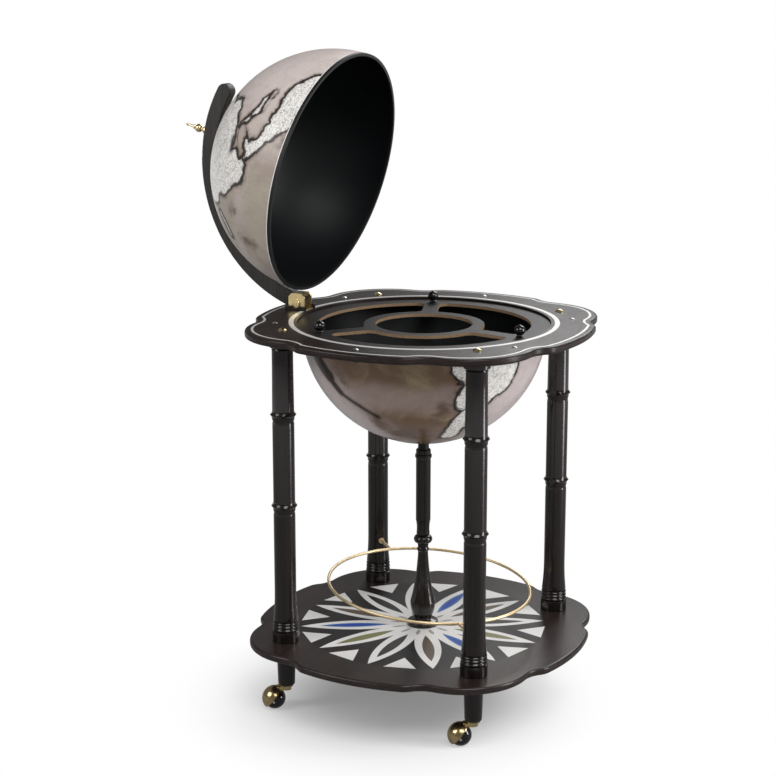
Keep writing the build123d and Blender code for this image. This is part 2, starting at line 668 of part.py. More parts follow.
def hinge_pieces():
    cheek_mid = BRACKET_FRONT + BRACKET_BASE_LENGTH / 2
    front = cheek_mid - BRACKET_CHEEK_LENGTH / 2
    back = cheek_mid + BRACKET_CHEEK_LENGTH / 2
    c = BRACKET_CORNER
    outline = make_face(Polyline(
        (front, 0), (back, 0), (back, BRACKET_RISE - c), (back - c, BRACKET_RISE),
        (front + c, BRACKET_RISE), (front, BRACKET_RISE - c), (front, 0),
    ))
    cheek = extrude(Plane.YZ * outline, amount=BRACKET_CHEEK_THICK)
    base = block(-CHEEK_OUTSIDE, CHEEK_OUTSIDE, BRACKET_FRONT, BRACKET_FRONT + BRACKET_BASE_LENGTH,
                 0, BRACKET_BASE_THICK)
    bracket = base + at(cheek, x=CHEEK_INSIDE) + at(cheek, x=-CHEEK_OUTSIDE)
    pin_end = CHEEK_OUTSIDE + PIN_NUT_THICK + PIN_TAIL
    shank = rod((-CHEEK_OUTSIDE, PIVOT_BACK, PIVOT_RISE), (pin_end, PIVOT_BACK, PIVOT_RISE), PIN_RADIUS)
    bracket -= shank
    screws = []
    for y in hinge_screw_places():
        screw = at(hinge_screw_body(), y=y)
        bracket -= screw
        drive = at(cross_slot(HINGE_SCREW_HEAD_RADIUS), y=y, z=BRACKET_BASE_THICK)
        screws.append(at(screw - drive, z=TABLE_TOP))
    cap = rod((-CHEEK_OUTSIDE - PIN_CAP_THICK, PIVOT_BACK, PIVOT_RISE),
              (-CHEEK_OUTSIDE, PIVOT_BACK, PIVOT_RISE), PIN_CAP_RADIUS)
    cap = chamfer(cap.faces().sort_by(Axis.X)[0].edges(), 0.5)
    for side in (-1, 1):
        y = PIVOT_BACK + side * PIN_SPANNER_SPACING / 2
        cap -= rod((-CHEEK_OUTSIDE - PIN_CAP_THICK - 1, y, PIVOT_RISE),
                   (-CHEEK_OUTSIDE - PIN_CAP_THICK / 2, y, PIVOT_RISE), PIN_SPANNER_HOLE)
    nut = extrude(Plane.YZ * RegularPolygon(PIN_NUT_RADIUS, 6), amount=PIN_NUT_THICK)
    nut = at(nut, CHEEK_OUTSIDE, PIVOT_BACK, PIVOT_RISE) - shank
    strips = []
    strip_front = cheek_mid - RAIL_STRIP_LENGTH / 2
    for side in (-1, 1):
        x0, x1 = sorted((side * CHEEK_OUTSIDE, side * (CHEEK_OUTSIDE + RAIL_STRIP_WIDTH)))
        strip = block(x0, x1, strip_front, strip_front + RAIL_STRIP_LENGTH, 0, RAIL_STRIP_HEIGHT)
        strip = fillet(strip.faces().sort_by(Axis.Z)[-1].edges(), 1.2)
        strip -= rod((x0 - 5, PIVOT_BACK, PIVOT_RISE), (x1 + 5, PIVOT_BACK, PIVOT_RISE),
                     PIN_CAP_RADIUS + RAIL_STRIP_RELIEF)
        strips.append(at(strip, z=TABLE_TOP))
    save("hinge_bracket", at(bracket, z=TABLE_TOP))
    save("hinge_strips", group(strips))
    save("hinge_screws", group(screws))
    save("pivot_pin", at(shank + cap, z=TABLE_TOP))
    save("pivot_nut", at(nut, z=TABLE_TOP))


# Legs, feet, leg bolts, foot studs and bottle rail

def leg_body():
    """Turned leg standing on z 0."""
    b, s, n, k = LEG_BLOCK_RADIUS, LEG_SHAFT_RADIUS, LEG_NODE_RADIUS, LEG_NECK_RADIUS
    base, rise, gap = LEG_BASE_HEIGHT, LEG_BEAD_HEIGHT, LEG_BEAD_GAP
    cap_low = LEG_LENGTH - LEG_CAP_HEIGHT
    cap = b - LEG_CAP_SET
    path = [(0, 0), (b - 1, 0), (b, 1), (b, base), (b - 1.2, base + 1.2), (b - 2.6, base + 2)]
    foot = base + 2
    for inset in (2.6, 2.8, 3.0):
        path.append((b - inset, foot))
        path.append(bead(b - inset, b - inset + 2.3, foot, foot + rise))
        foot += rise + gap
    taper = foot + 2.4 + LEG_BASE_TAPER
    path += [
        (b - 2.4, foot + 0.8),
        (b - 1.6, foot + 2.4),
        (s, taper, s + 0.8, foot + 2.4 + LEG_BASE_TAPER * 0.43),
    ]
    half = LEG_NODE_HALF
    for centre in (LEG_NODE_LOW, LEG_NODE_HIGH):
        path += [
            (s, centre - half),
            (s + 1.2, centre - half * 0.83),
            (s + 0.7, centre - half * 0.7),
            bead(s + 0.7, n, centre - half * 0.7, centre - 0.6),
            (n - 1.4, centre),
            (s + 0.7, centre + half * 0.7, n, centre + half * 0.355),
            (s + 1.2, centre + half * 0.83),
            (s, centre + half),
        ]
    path += [
        (k, cap_low - LEG_TOP_NECK, s - 0.2, (LEG_NODE_HIGH + half + cap_low - LEG_TOP_NECK) / 2),
        (k, cap_low - 4),
        (k + 1.2, cap_low - 2.6),
        (k + 1.2, cap_low - 1.2),
        (cap - 1, cap_low),
        (cap, cap_low + 1.5),
        (cap, LEG_LENGTH - 1),
        (cap - 1, LEG_LENGTH),
        (0, LEG_LENGTH),
    ]
    return lathe(path)


def foot_body():
    """Tapered foot standing on z 0."""
    t, w, h = FOOT_TOP_RADIUS, FOOT_LOW_RADIUS, FOOT_LENGTH
    return lathe([
        (0, 0),
        (w - FOOT_ROUND, 0),
        (w, FOOT_ROUND, w - FOOT_ROUND * 0.29, FOOT_ROUND * 0.29),
        (t - 0.2, h - 5),
        (t, h - 4),
        (t, h),
        (0, h),
    ])


def rail_plane():
    """Centre and unit normal of the bottle rail's ring."""
    x, y = polar(RAIL_SHIFT, RAIL_SHIFT_ANGLE)
    lean_x, lean_y = polar(sin(radians(RAIL_TILT)), RAIL_TILT_ANGLE)
    return Vector(x, y, SHELF_TOP + RAIL_RISE), Vector(lean_x, lean_y, cos(radians(RAIL_TILT)))


def rail_reach(angle):
    """Plan distance from the stand's axis to the ring along an angle, and the ring's height there."""
    centre, normal = rail_plane()
    ex, ey = polar(1.0, angle)
    along = ex * centre.X + ey * centre.Y
    reach = along + sqrt(RAIL_RADIUS**2 - (centre.X**2 + centre.Y**2 - along**2))
    dx, dy = reach * ex - centre.X, reach * ey - centre.Y
    return reach, centre.Z - (normal.X * dx + normal.Y * dy) / normal.Z


def leg_pieces():
    centre, normal = rail_plane()
    hoop = Plane(origin=centre, z_dir=normal) * Torus(RAIL_RADIUS, RAIL_ROD_RADIUS)
    save("rail_ring", hoop)
    pins, bolts, studs = [], [], []
    for corner, angle in CORNERS.items():
        x, y = polar(LEG_CIRCLE, angle)
        leg = at(leg_body(), x, y, SHELF_TOP)
        leg -= disc(LEG_BOLT_RADIUS, TABLE_UNDER - LEG_BOLT_REACH, TABLE_UNDER + 1, x, y)
        leg -= disc(FOOT_STUD_RADIUS, SHELF_TOP - 1, SHELF_TOP + FOOT_STUD_UP, x, y)
        if angle in RAIL_PIN_ANGLES:
            reach, height = rail_reach(angle)
            deep = LEG_CIRCLE - LEG_SHAFT_RADIUS + RAIL_PIN_DEPTH
            bore = rod((*polar(reach, angle), height), (*polar(deep, angle), height), RAIL_ROD_RADIUS)
            face = LEG_CIRCLE - LEG_SHAFT_RADIUS - RAIL_ROSETTE_THICK
            rosette = rod((*polar(face, angle), height), (*polar(deep, angle), height),
                          RAIL_ROSETTE_RADIUS) - leg
            leg -= bore
            pin = (bore + rosette) - hoop
            pins.append(max(pin.solids(), key=lambda solid: solid.volume))
        save("leg_" + corner, leg)
        bolt = lathe([
            (0, 0),
            (LEG_BOLT_HEAD_RADIUS, 0),
            (LEG_BOLT_HEAD_RADIUS, 1),
            crown(LEG_BOLT_HEAD_RADIUS, 1, LEG_BOLT_HEAD_RISE - 1),
        ])
        bolt += disc(LEG_BOLT_RADIUS, -BOARD_THICK - LEG_BOLT_REACH, 0)
        bolts.append(at(bolt, x, y, TABLE_TOP))
        stud = disc(FOOT_STUD_RADIUS, SHELF_UNDER - FOOT_STUD_DOWN, SHELF_TOP + FOOT_STUD_UP, x, y)
        studs.append(stud)
        foot = at(foot_body(), x, y, CASTER_HEIGHT)
        foot -= stud
        foot -= disc(SOCKET_SLEEVE_RADIUS, CASTER_HEIGHT - 1, CASTER_HEIGHT + SOCKET_SLEEVE_LENGTH, x, y)
        save("foot_" + corner, foot)
    save("leg_bolts", group(bolts))
    save("foot_studs", group(studs))
    save("rail_pins", group(pins))


# Casters

def hood_body():
    """Hood and stem about the stem's axis, the ball trailing along +X; z 0 is the floor."""
    ball = (CASTER_TRAIL, 0, WHEEL_RADIUS)
    far = 2 * HOOD_OUTER
    half = Rot(0, 90 - HOOD_TILT, 0) * Pos(0, 0, -HOOD_EDGE) * Box(
        far * 2, far * 2, far, align=(Align.CENTER, Align.CENTER, Align.MIN)
    )
    skirt = Pos(0, 0, -HOOD_SKIRT) * Box(far * 2, far * 2, far * 2, align=(Align.CENTER, Align.CENTER, Align.MIN))
    cover = at((Sphere(HOOD_OUTER) & half) & skirt, *ball)
    top = CASTER_HEIGHT - SOCKET_FLANGE_THICK - THRUST_GAP
    boss_low = WHEEL_RADIUS + 6
    boss = extrude(SlotCenterToCenter(BOSS_BRIDGE, 2 * BOSS_RADIUS), amount=top - boss_low)
    boss = at(boss, BOSS_BRIDGE / 2, 0, boss_low)
    boss = chamfer(boss.faces().sort_by(Axis.Z)[-1].edges(), 0.8)
    body = cover + boss + disc(STEM_RADIUS, top - 1, top + STEM_LENGTH + THRUST_GAP)
    body -= at(Sphere(HOOD_INNER), *ball)
    return body - axle_body()


def axle_body():
    reach = HOOD_OUTER + AXLE_PROUD
    return rod((CASTER_TRAIL, -reach, WHEEL_RADIUS), (CASTER_TRAIL, reach, WHEEL_RADIUS), AXLE_RADIUS)


def wheel_body():
    """Ball wheel with flat cheeks and a hub, about the caster's own axle."""
    cheek, edge, ball = WHEEL_HALF_WIDTH, WHEEL_EDGE_ROUND, WHEEL_RADIUS
    hub_reach = sqrt(HOOD_INNER**2 - WHEEL_HUB_RADIUS**2) - WHEEL_HUB_GAP
    bore = AXLE_RADIUS + RUNNING_FIT
    low = cheek - edge
    middle = sqrt((ball - edge)**2 - low**2)
    lean = atan2(low, middle)
    half = (lean + radians(90)) / 2
    out, over = middle * ball / (ball - edge), low * ball / (ball - edge)
    via = middle + edge * cos(half), low + edge * sin(half)
    wheel = lathe([
        (bore, -hub_reach),
        (WHEEL_HUB_RADIUS, -hub_reach),
        (WHEEL_HUB_RADIUS, -cheek),
        (middle, -cheek),
        (out, -over, via[0], -via[1]),
        (out, over, ball, 0),
        (middle, cheek) + via,
        (WHEEL_HUB_RADIUS, cheek),
        (WHEEL_HUB_RADIUS, hub_reach),
        (bore, hub_reach),
    ])
    return at(Rot(90, 0, 0) * wheel, CASTER_TRAIL, 0, WHEEL_RADIUS)


def socket_body():
    flange_low = CASTER_HEIGHT - SOCKET_FLANGE_THICK
    sleeve_top = CASTER_HEIGHT + SOCKET_SLEEVE_LENGTH
    body = disc(SOCKET_FLANGE_RADIUS, flange_low, CASTER_HEIGHT)
    body = chamfer(body.edges().filter_by(GeomType.CIRCLE), 0.4)
    body += disc(SOCKET_SLEEVE_RADIUS, CASTER_HEIGHT - 1, sleeve_top)
    return body - disc(STEM_RADIUS + RUNNING_FIT, flange_low - 1, sleeve_top - 2)


def caster_pieces():
    parts = {
        "caster_socket_": socket_body(),
        "caster_hood_": hood_body(),
        "caster_wheel_": wheel_body(),
        "caster_axle_": axle_body(),
    }
    for corner, angle in CORNERS.items():
        x, y = polar(LEG_CIRCLE, angle)
        for stem, shape in parts.items():
            save(stem + corner, Pos(x, y, 0) * Rot(0, 0, CASTER_HEADING) * shape)


# Shelf, inlay panel and column

def shelf_pieces():
    panel = ring(PANEL_RADIUS, PANEL_HOLE_RADIUS, SHELF_TOP - PANEL_THICK, SHELF_TOP)
    slab = board(SHELF_UNDER) - panel
    slab -= disc(COLUMN_SCREW_RADIUS, SHELF_UNDER - 1, SHELF_TOP + 1)
    for angle in CORNERS.values():
        slab -= disc(FOOT_STUD_RADIUS, SHELF_UNDER - 1, SHELF_TOP + 1, *polar(LEG_CIRCLE, angle))
    save("shelf", slab)
    save("compass_panel", panel)


def column_pieces():
    b, v, n = COLUMN_BASE_RADIUS, COLUMN_VASE_RADIUS, COLUMN_NECK_RADIUS
    k, s = COLUMN_KNOP_RADIUS, COLUMN_SHAFT_RADIUS
    neck = COLUMN_LENGTH * 0.448
    knop = COLUMN_LENGTH * 0.491
    low = COLUMN_BASE_THICK
    vase, taper, half = COLUMN_VASE_TOP, COLUMN_NECK_TAPER, COLUMN_KNOP_HALF
    body = lathe([
        (0, 0),
        (b, 0),
        (b, low),
        (b - 3, low + 3, b - 0.9, low + 2.1),
        (v * 0.68, low + 5),
        (v * 0.68, low + 8),
        (v, vase, v * 0.9, vase - 16),
        (n + 1, neck - taper, v * 0.66, (vase + neck - taper) * 0.487),
        (n, neck - 8, n + 0.2, neck - 16),
        (n + 1.5, neck - 6),
        (n + 1.5, neck - 4),
        (n, neck),
        (n + 1, knop - half),
        (n + 1, knop + half, k, knop),
        (n + 2.5, knop + 9),
        (n + 2.5, knop + 11),
        (s, knop + 34, s * 0.86, knop + 17),
        (s, COLUMN_LENGTH - 16),
        (s + 1.6, COLUMN_LENGTH - 14),
        (s + 1.6, COLUMN_LENGTH - 10),
        (s, COLUMN_LENGTH - 8),
        (s, COLUMN_LENGTH - 1.5),
        (s - 1.5, COLUMN_LENGTH),
        (0, COLUMN_LENGTH),
    ])
    low_screw = disc(COLUMN_SCREW_RADIUS, SHELF_UNDER, SHELF_UNDER + COLUMN_SCREW_REACH)
    head = disc(COLUMN_SCREW_HEAD_RADIUS, SHELF_UNDER - COLUMN_SCREW_HEAD_THICK, SHELF_UNDER)
    head = fillet(head.faces().sort_by(Axis.Z)[0].edges(), COLUMN_SCREW_HEAD_THICK * 0.4)
    slot = block(-COLUMN_SCREW_HEAD_RADIUS * 0.5, COLUMN_SCREW_HEAD_RADIUS * 0.5, -0.6, 0.6, -2, 1)
    slot = at(slot, z=SHELF_UNDER - COLUMN_SCREW_HEAD_THICK)
    head -= slot + Rot(0, 0, 90) * slot
    top_screw = disc(ANCHOR_SCREW_RADIUS, COLUMN_TOP - ANCHOR_SCREW_REACH, BOWL_BOTTOM + 1)
    seat = BOWL_BOTTOM + BOWL_WALL
    inside = at(Sphere(GLOBE_RADIUS - BOWL_WALL - SEAT_GAP), z=TABLE_TOP)
    knob = disc(ANCHOR_SCREW_HEAD_RADIUS, BOWL_BOTTOM, seat + ANCHOR_SCREW_HEAD_THICK) & inside
    knob += disc(ANCHOR_SCREW_RADIUS, COLUMN_TOP - ANCHOR_SCREW_REACH, seat + 1)
    notch = block(-ANCHOR_SCREW_HEAD_RADIUS * 0.5, ANCHOR_SCREW_HEAD_RADIUS * 0.5, -0.6, 0.6, -1, 1)
    notch = at(notch, z=seat + ANCHOR_SCREW_HEAD_THICK)
    knob -= notch + Rot(0, 0, 90) * notch
    body = at(body, z=SHELF_TOP) - low_screw - top_screw
    cap = disc(COLUMN_CAP_RADIUS, COLUMN_TOP, BOWL_BOTTOM + 2)
    cap -= at(Sphere(GLOBE_RADIUS + SEAT_GAP), z=TABLE_TOP)
    cap -= top_screw
    save("column", body)
    save("column_cap", cap)
    save("column_screw", low_screw + head)
    save("bowl_anchor_screw", knob)


table_pieces()
bowl_pieces()
tray_pieces()
lid_pieces()
hinge_pieces()
leg_pieces()
caster_pieces()
shelf_pieces()
column_pieces()
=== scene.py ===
"""Dresses the globe bar: finishes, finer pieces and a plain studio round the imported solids.

Lengths are metres and angles are degrees. The stand's axis is the Z axis, the front is -Y and
the lid, stored open, tips back about a pin at +Y.
"""
from __future__ import annotations

import json
import logging
import math
from dataclasses import dataclass
from enum import Enum
from typing import Any, Callable, Iterable, Sequence

import bpy
from mathutils import Euler, Matrix, Vector

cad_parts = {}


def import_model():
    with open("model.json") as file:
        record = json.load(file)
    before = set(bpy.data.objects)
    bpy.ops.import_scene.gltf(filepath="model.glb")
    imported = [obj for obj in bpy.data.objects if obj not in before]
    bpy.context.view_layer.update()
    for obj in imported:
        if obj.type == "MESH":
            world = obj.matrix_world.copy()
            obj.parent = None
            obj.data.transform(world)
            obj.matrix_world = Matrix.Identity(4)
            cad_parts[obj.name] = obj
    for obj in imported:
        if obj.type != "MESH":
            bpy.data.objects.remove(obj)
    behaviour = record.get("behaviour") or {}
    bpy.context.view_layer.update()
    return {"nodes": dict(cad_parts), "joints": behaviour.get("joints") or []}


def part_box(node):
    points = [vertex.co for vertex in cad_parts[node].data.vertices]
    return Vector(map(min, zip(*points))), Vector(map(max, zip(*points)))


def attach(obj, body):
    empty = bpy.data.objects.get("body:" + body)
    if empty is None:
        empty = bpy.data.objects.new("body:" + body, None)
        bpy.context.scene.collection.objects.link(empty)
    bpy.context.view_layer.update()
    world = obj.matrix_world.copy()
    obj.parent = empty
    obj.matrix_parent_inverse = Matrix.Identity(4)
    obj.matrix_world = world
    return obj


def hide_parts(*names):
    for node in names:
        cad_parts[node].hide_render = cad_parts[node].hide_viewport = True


LOG = logging.getLogger("globe_bar")
CORNERS = ("back_right", "back_left", "front_left", "front_right")
SAME_PLACE = 1e-6  # distance under which two points are one
AHEAD = 1e-9  # product over which a point lies ahead
TURNED_SMOOTH = 40.0  # degrees under which a turned piece is shaded smooth
Pair = tuple[float, float]
Triple = tuple[float, float, float]
Colour = Triple
Socket = bpy.types.NodeSocket
Piece = bpy.types.Object


def times(colour: Colour, factor: float) -> Colour:
    """A colour made lighter or darker."""
    return tuple(part * factor for part in colour)


# Shader maths


def maths(operation: str, reflected: bool = False) -> Callable[..., Value]:
    """Make a method that adds one Math node.

    Args:
        operation: The node's operation.
        reflected: Whether the other number comes before the method's own.

    Returns:
        The method. It takes the node's other input where there is one and gives its result.
    """

    settings = {"operation": operation}

    def method(own: Value, *others: Any) -> Value:
        """The result of one Math node."""
        inputs = (*others, own) if reflected else (own, *others)
        return own.graph.node("ShaderNodeMath", settings, dict(enumerate(inputs))).value()

    return method


class Value:
    """A shader socket that takes part in Python arithmetic.

    The bearing is the angle of (x, own) in radians, a fold the distance to the nearest multiple
    of twice a width, and a cycle the remainder that is never negative.
    """

    def __init__(self, graph: Tree, socket: Socket) -> None:
        """Wrap a socket.

        Args:
            graph: The tree that new nodes go into.
            socket: The output socket that carries the number.
        """
        self.graph = graph
        self.socket = socket

    __add__ = __radd__ = maths("ADD")
    __sub__ = maths("SUBTRACT")
    __rsub__ = maths("SUBTRACT", reflected=True)
    __mul__ = __rmul__ = maths("MULTIPLY")
    __truediv__ = maths("DIVIDE")
    __gt__ = maths("GREATER_THAN")
    __lt__ = maths("LESS_THAN")
    larger = maths("MAXIMUM")
    smaller = maths("MINIMUM")
    size = maths("ABSOLUTE")
    root = maths("SQRT")
    sine = maths("SINE")
    cosine = maths("COSINE")
    bearing = maths("ARCTAN2")
    fold = maths("PINGPONG")
    floor = maths("FLOOR")
    cycle = maths("FLOORED_MODULO")

    def __neg__(self) -> Value:
        """Negative."""
        return self * -1.0

    def swing(self, reach: float) -> Value:
        """Noise turned into a swing either way of 0."""
        return (self - 0.5) * reach

    def held(self) -> Value:
        """Held between 0 and 1."""
        settings = {"operation": "ADD", "use_clamp": True}
        return self.graph.node("ShaderNodeMath", settings, {0: self, 1: 0.0}).value()

    def step(self, low: float, high: float) -> Value:
        """Smooth step.

        Args:
            low: Where it leaves 0.
            high: Where it reaches 1.

        Returns:
            The step, from 0 to 1.
        """
        settings = {"interpolation_type": "SMOOTHSTEP"}
        inputs = {0: self, 1: low, 2: high, 3: 0.0, 4: 1.0}
        return self.graph.node("ShaderNodeMapRange", settings, inputs).value()


class Made:
    """A node that has been added, with its outputs at hand."""

    def __init__(self, graph: Tree, node: bpy.types.Node) -> None:
        """Keep a node.

        Args:
            graph: The tree that holds the node.
            node: The node.
        """
        self.graph = graph
        self.raw = node

    def value(self, output: int | str = 0) -> Value:
        """One output as a number."""
        return Value(self.graph, self.raw.outputs[output])

    def socket(self, output: int | str = 0) -> Socket:
        """One output as a plain socket, for colours and vectors."""
        return self.raw.outputs[output]


class Tree:
    """A node tree with its output node."""

    def __init__(self, tree: bpy.types.NodeTree, kind: str) -> None:
        """Empty a tree and add its output.

        Args:
            tree: The tree.
            kind: The output node's type.
        """
        self.tree = tree
        self.tree.nodes.clear()
        self.output = self.node(kind)

    def node(
        self,
        kind: str,
        settings: dict[str, Any] | None = None,
        inputs: dict[int | str, Any] | None = None,
    ) -> Made:
        """Add a node.

        Args:
            kind: The node's type.
            settings: Properties to set first.
            inputs: What each input gets, by number or name: a number, a vector, a colour or a link.

        Returns:
            The node.
        """
        made = self.tree.nodes.new(kind)
        for key, setting in (settings or {}).items():
            setattr(made, key, setting)
        for key, given in (inputs or {}).items():
            self.feed(made.inputs[key], given)
        return Made(self, made)

    def feed(self, socket: Socket, given: Any) -> None:
        """Link or set one input.

        Args:
            socket: The input.
            given: A Value, a socket, a number, a vector or a colour.
        """
        if isinstance(given, Value):
            self.tree.links.new(given.socket, socket)
        elif isinstance(given, Socket):
            self.tree.links.new(given, socket)
        elif isinstance(given, tuple) and socket.type == "RGBA":
            socket.default_value = (*given[:3], 1.0)
        else:
            socket.default_value = given

    def surface(self, shader: Socket) -> None:
        """Give the output its shader."""
        self.feed(self.output.raw.inputs["Surface"], shader)

    def mixed(self, share: Any, first: Socket, second: Socket) -> Socket:
        """Mix two shaders."""
        return self.node("ShaderNodeMixShader", None, {0: share, 1: first, 2: second}).socket()


class Graph(Tree):
    """A material's node tree with one Principled shader."""

    def __init__(self, name: str) -> None:
        """Start an empty material.

        Args:
            name: The material's name.
        """
        self.material = bpy.data.materials.new(name)
        self.material.use_nodes = True
        super().__init__(self.material.node_tree, "ShaderNodeOutputMaterial")
        self.shader = self.node("ShaderNodeBsdfPrincipled")
        self.surface(self.shader.socket())

    def set(self, **inputs: Any) -> Graph:
        """Set the shader's inputs.

        Args:
            **inputs: What each gets, underscores standing for the spaces in its name.

        Returns:
            The graph.
        """
        for name, given in inputs.items():
            self.feed(self.shader.raw.inputs[name.replace("_", " ")], given)
        return self

    def coordinates(self, output: str = "Object") -> Socket:
        """The piece's own coordinates."""
        return self.node("ShaderNodeTexCoord").socket(output)

    def placed(
        self,
        scale: Sequence[float] = (1, 1, 1),
        turn: Sequence[float] = (0, 0, 0),
        shift: Sequence[float] = (0, 0, 0),
    ) -> Socket:
        """Object coordinates scaled, then turned, then shifted.

        Args:
            scale: Factor along each axis.
            turn: Turn about each axis, in degrees.
            shift: Move after the turn.

        Returns:
            The placed coordinates.
        """
        inputs = {
            "Vector": self.coordinates(),
            "Location": tuple(shift),
            "Rotation": tuple(math.radians(a) for a in turn),
            "Scale": tuple(scale),
        }
        return self.node("ShaderNodeMapping", None, inputs).socket()

    def axes(self, vector: Socket) -> tuple[Value, Value, Value]:
        """The three numbers of a vector."""
        parts = self.node("ShaderNodeSeparateXYZ", None, {0: vector})
        return parts.value("X"), parts.value("Y"), parts.value("Z")

    def vector(self, operation: str, *inputs: Any) -> Made:
        """One Vector Math node.

        Args:
            operation: The node's operation.
            *inputs: Its inputs in order, None for one that is left alone.

        Returns:
            The node.
        """
        given = {place: each for place, each in enumerate(inputs) if each is not None}
        return self.node("ShaderNodeVectorMath", {"operation": operation}, given)

    def swirl(self, vector: Socket, scale: float, detail: float, roughness: float) -> Socket:
        """Three-way noise round 0.5, for bending a pattern."""
        inputs = {"Vector": vector, "Scale": scale, "Detail": detail, "Roughness": roughness}
        return self.node("ShaderNodeTexNoise", None, inputs).socket("Color")

    def noise(
        self,
        vector: Socket,
        scale: float,
        detail: float = 4.0,
        roughness: float = 0.5,
        distortion: float = 0.0,
    ) -> Value:
        """Fractal noise from 0 to 1.

        Args:
            vector: Where it is read.
            scale: Cells for each unit.
            detail: Number of octaves.
            roughness: Strength of the finer octaves.
            distortion: How far it swirls.

        Returns:
            The noise.
        """
        inputs = {"Vector": vector, "Scale": scale, "Detail": detail, "Roughness": roughness}
        inputs["Distortion"] = distortion
        return self.node("ShaderNodeTexNoise", None, inputs).value()

    def cloud(self, scale: float, detail: float, roughness: float) -> Value:
        """Noise with round cells, over the whole piece."""
        return self.noise(self.coordinates(), scale, detail, roughness)

    def grain(
        self, scale: Triple, detail: float, roughness: float, distortion: float = 0.0
    ) -> Value:
        """Noise with cells drawn out by a scale for each axis."""
        return self.noise(self.placed(scale), 1.0, detail, roughness, distortion)

    def cells(self, vector: Socket, scale: float, feature: str = "F1") -> Value:
        """Voronoi distance.

        Args:
            vector: Where it is read.
            scale: Cells for each unit.
            feature: The distance that is given.

        Returns:
            The distance.
        """
        settings = {"feature": feature}
        inputs = {"Vector": vector, "Scale": scale}
        return self.node("ShaderNodeTexVoronoi", settings, inputs).value("Distance")

    def mix(self, factor: Any, low: Any, high: Any) -> Socket:
        """Blend two colours.

        Args:
            factor: 0 gives low and 1 gives high.
            low: First colour or link.
            high: Second colour or link.

        Returns:
            The blended colour.
        """
        settings = {"data_type": "RGBA", "blend_type": "MIX", "clamp_factor": True}
        return self.node("ShaderNodeMix", settings, {0: factor, 6: low, 7: high}).socket(2)

    def bump(self, height: Value, depth: float, strength: float = 1.0) -> Socket:
        """Surface relief.

        Args:
            height: Relief from 0 to 1.
            depth: Depth of a full step, in metres.
            strength: Strength of the effect.

        Returns:
            The normal.
        """
        inputs = {"Height": height, "Distance": depth, "Strength": strength}
        return self.node("ShaderNodeBump", None, inputs).socket()


# Finishes


class Grain(Enum):
    """Direction that a piece of wood's grain runs in."""

    X = 0
    Z = 2

    def stretch(self, across: float, along: float) -> Triple:
        """Draw a texture out along the grain.

        Args:
            across: Cells for each metre across the grain.
            along: Cells for each metre along it.

        Returns:
            The scale for each axis.
        """
        scale = [across, across, across]
        scale[self.value] = along
        return tuple(scale)


@dataclass(frozen=True)
class Wood:
    """Stained wood under a thin satin lacquer."""

    name: str
    dark: Colour
    light: Colour
    grain: Grain
    roughness: float = 0.36
    coat: float = 0.25
    streak: float = 0.55
    shine: float = 0.3
    relief: float = 0.5
    coat_roughness: float = 0.2
    figure_scale: Pair = (26, 2.2)
    streak_scale: Pair = (420, 9)
    pore_scale: Pair = (1500, 34)
    pore_reach: Pair = (0.30, 0.42)
    wear_scale: float = 9.0
    wear_share: float = 0.22
    relief_depth: float = 0.00010

    def material(self) -> bpy.types.Material:
        """Build the wood: broad figure, fine streaks, open pores and a worn sheen.

        Returns:
            The material.
        """
        g = Graph(self.name)
        figure = g.grain(self.grain.stretch(*self.figure_scale), 3, 0.55, 1.4)
        streaks = g.grain(self.grain.stretch(*self.streak_scale), 4, 0.62, 0.3)
        pores = g.grain(self.grain.stretch(*self.pore_scale), 2, 0.5)
        wear = g.cloud(self.wear_scale, 4, 0.6)
        open_pore = 1 - pores.step(*self.pore_reach)
        tone = figure.step(0.25, 0.75) * (1 - self.streak) + streaks.step(0.3, 0.72) * self.streak
        base = g.mix(tone, self.dark, self.light)
        shade = g.mix(open_pore * 0.6, base, times(self.dark, 0.35))
        rubbed = times(self.light, 1.35)
        worn = g.mix(wear.step(0.55, 0.8) * self.wear_share, shade, rubbed)
        rough = self.roughness + wear.swing(0.16) + open_pore * 0.14 + streaks.swing(0.1)
        height = streaks * 0.55 - open_pore * 0.45
        g.set(Base_Color=worn, Roughness=rough.held(), Specular_IOR_Level=self.shine)
        g.set(Coat_Weight=self.coat, Coat_Roughness=self.coat_roughness)
        g.set(Normal=g.bump(height, self.relief_depth, self.relief))
        return g.material


@dataclass(frozen=True)
class Metal:
    """Polished or brushed metal with faint handling marks."""

    name: str
    colour: Colour
    roughness: float = 0.2
    tarnish: Colour = (0.45, 0.33, 0.16)
    age: float = 0.25
    # Height below which the colour is painted shade, and that shade's colour.
    painted_shade_below: float = 0.0
    black: Colour = (0.06, 0.055, 0.05)
    cloud_scale: float = 70.0
    hair_scale: Triple = (900, 700, 900)
    relief_depth: float = 0.00001

    def material(self) -> bpy.types.Material:
        """Build the metal: even polish, cloudy tarnish, hairlines and a lower end darkened as
        painted shade.

        Returns:
            The material.
        """
        g = Graph(self.name)
        cloud = g.cloud(self.cloud_scale, 5, 0.6)
        hair = g.grain(self.hair_scale, 3, 0.55)
        age = cloud.step(0.46, 0.78) * self.age
        colour = g.mix(age, self.colour, self.tarnish)
        # Painted shade: below the given height the colour turns near black.
        if self.painted_shade_below:
            _, _, height = g.axes(g.coordinates())
            colour = g.mix(height < self.painted_shade_below, colour, self.black)
        rough = self.roughness + cloud.swing(0.14) + hair.swing(0.08) + age * 0.2
        g.set(Base_Color=colour, Metallic=1.0, Roughness=rough.held())
        g.set(Normal=g.bump(hair, self.relief_depth, 0.2))
        return g.material


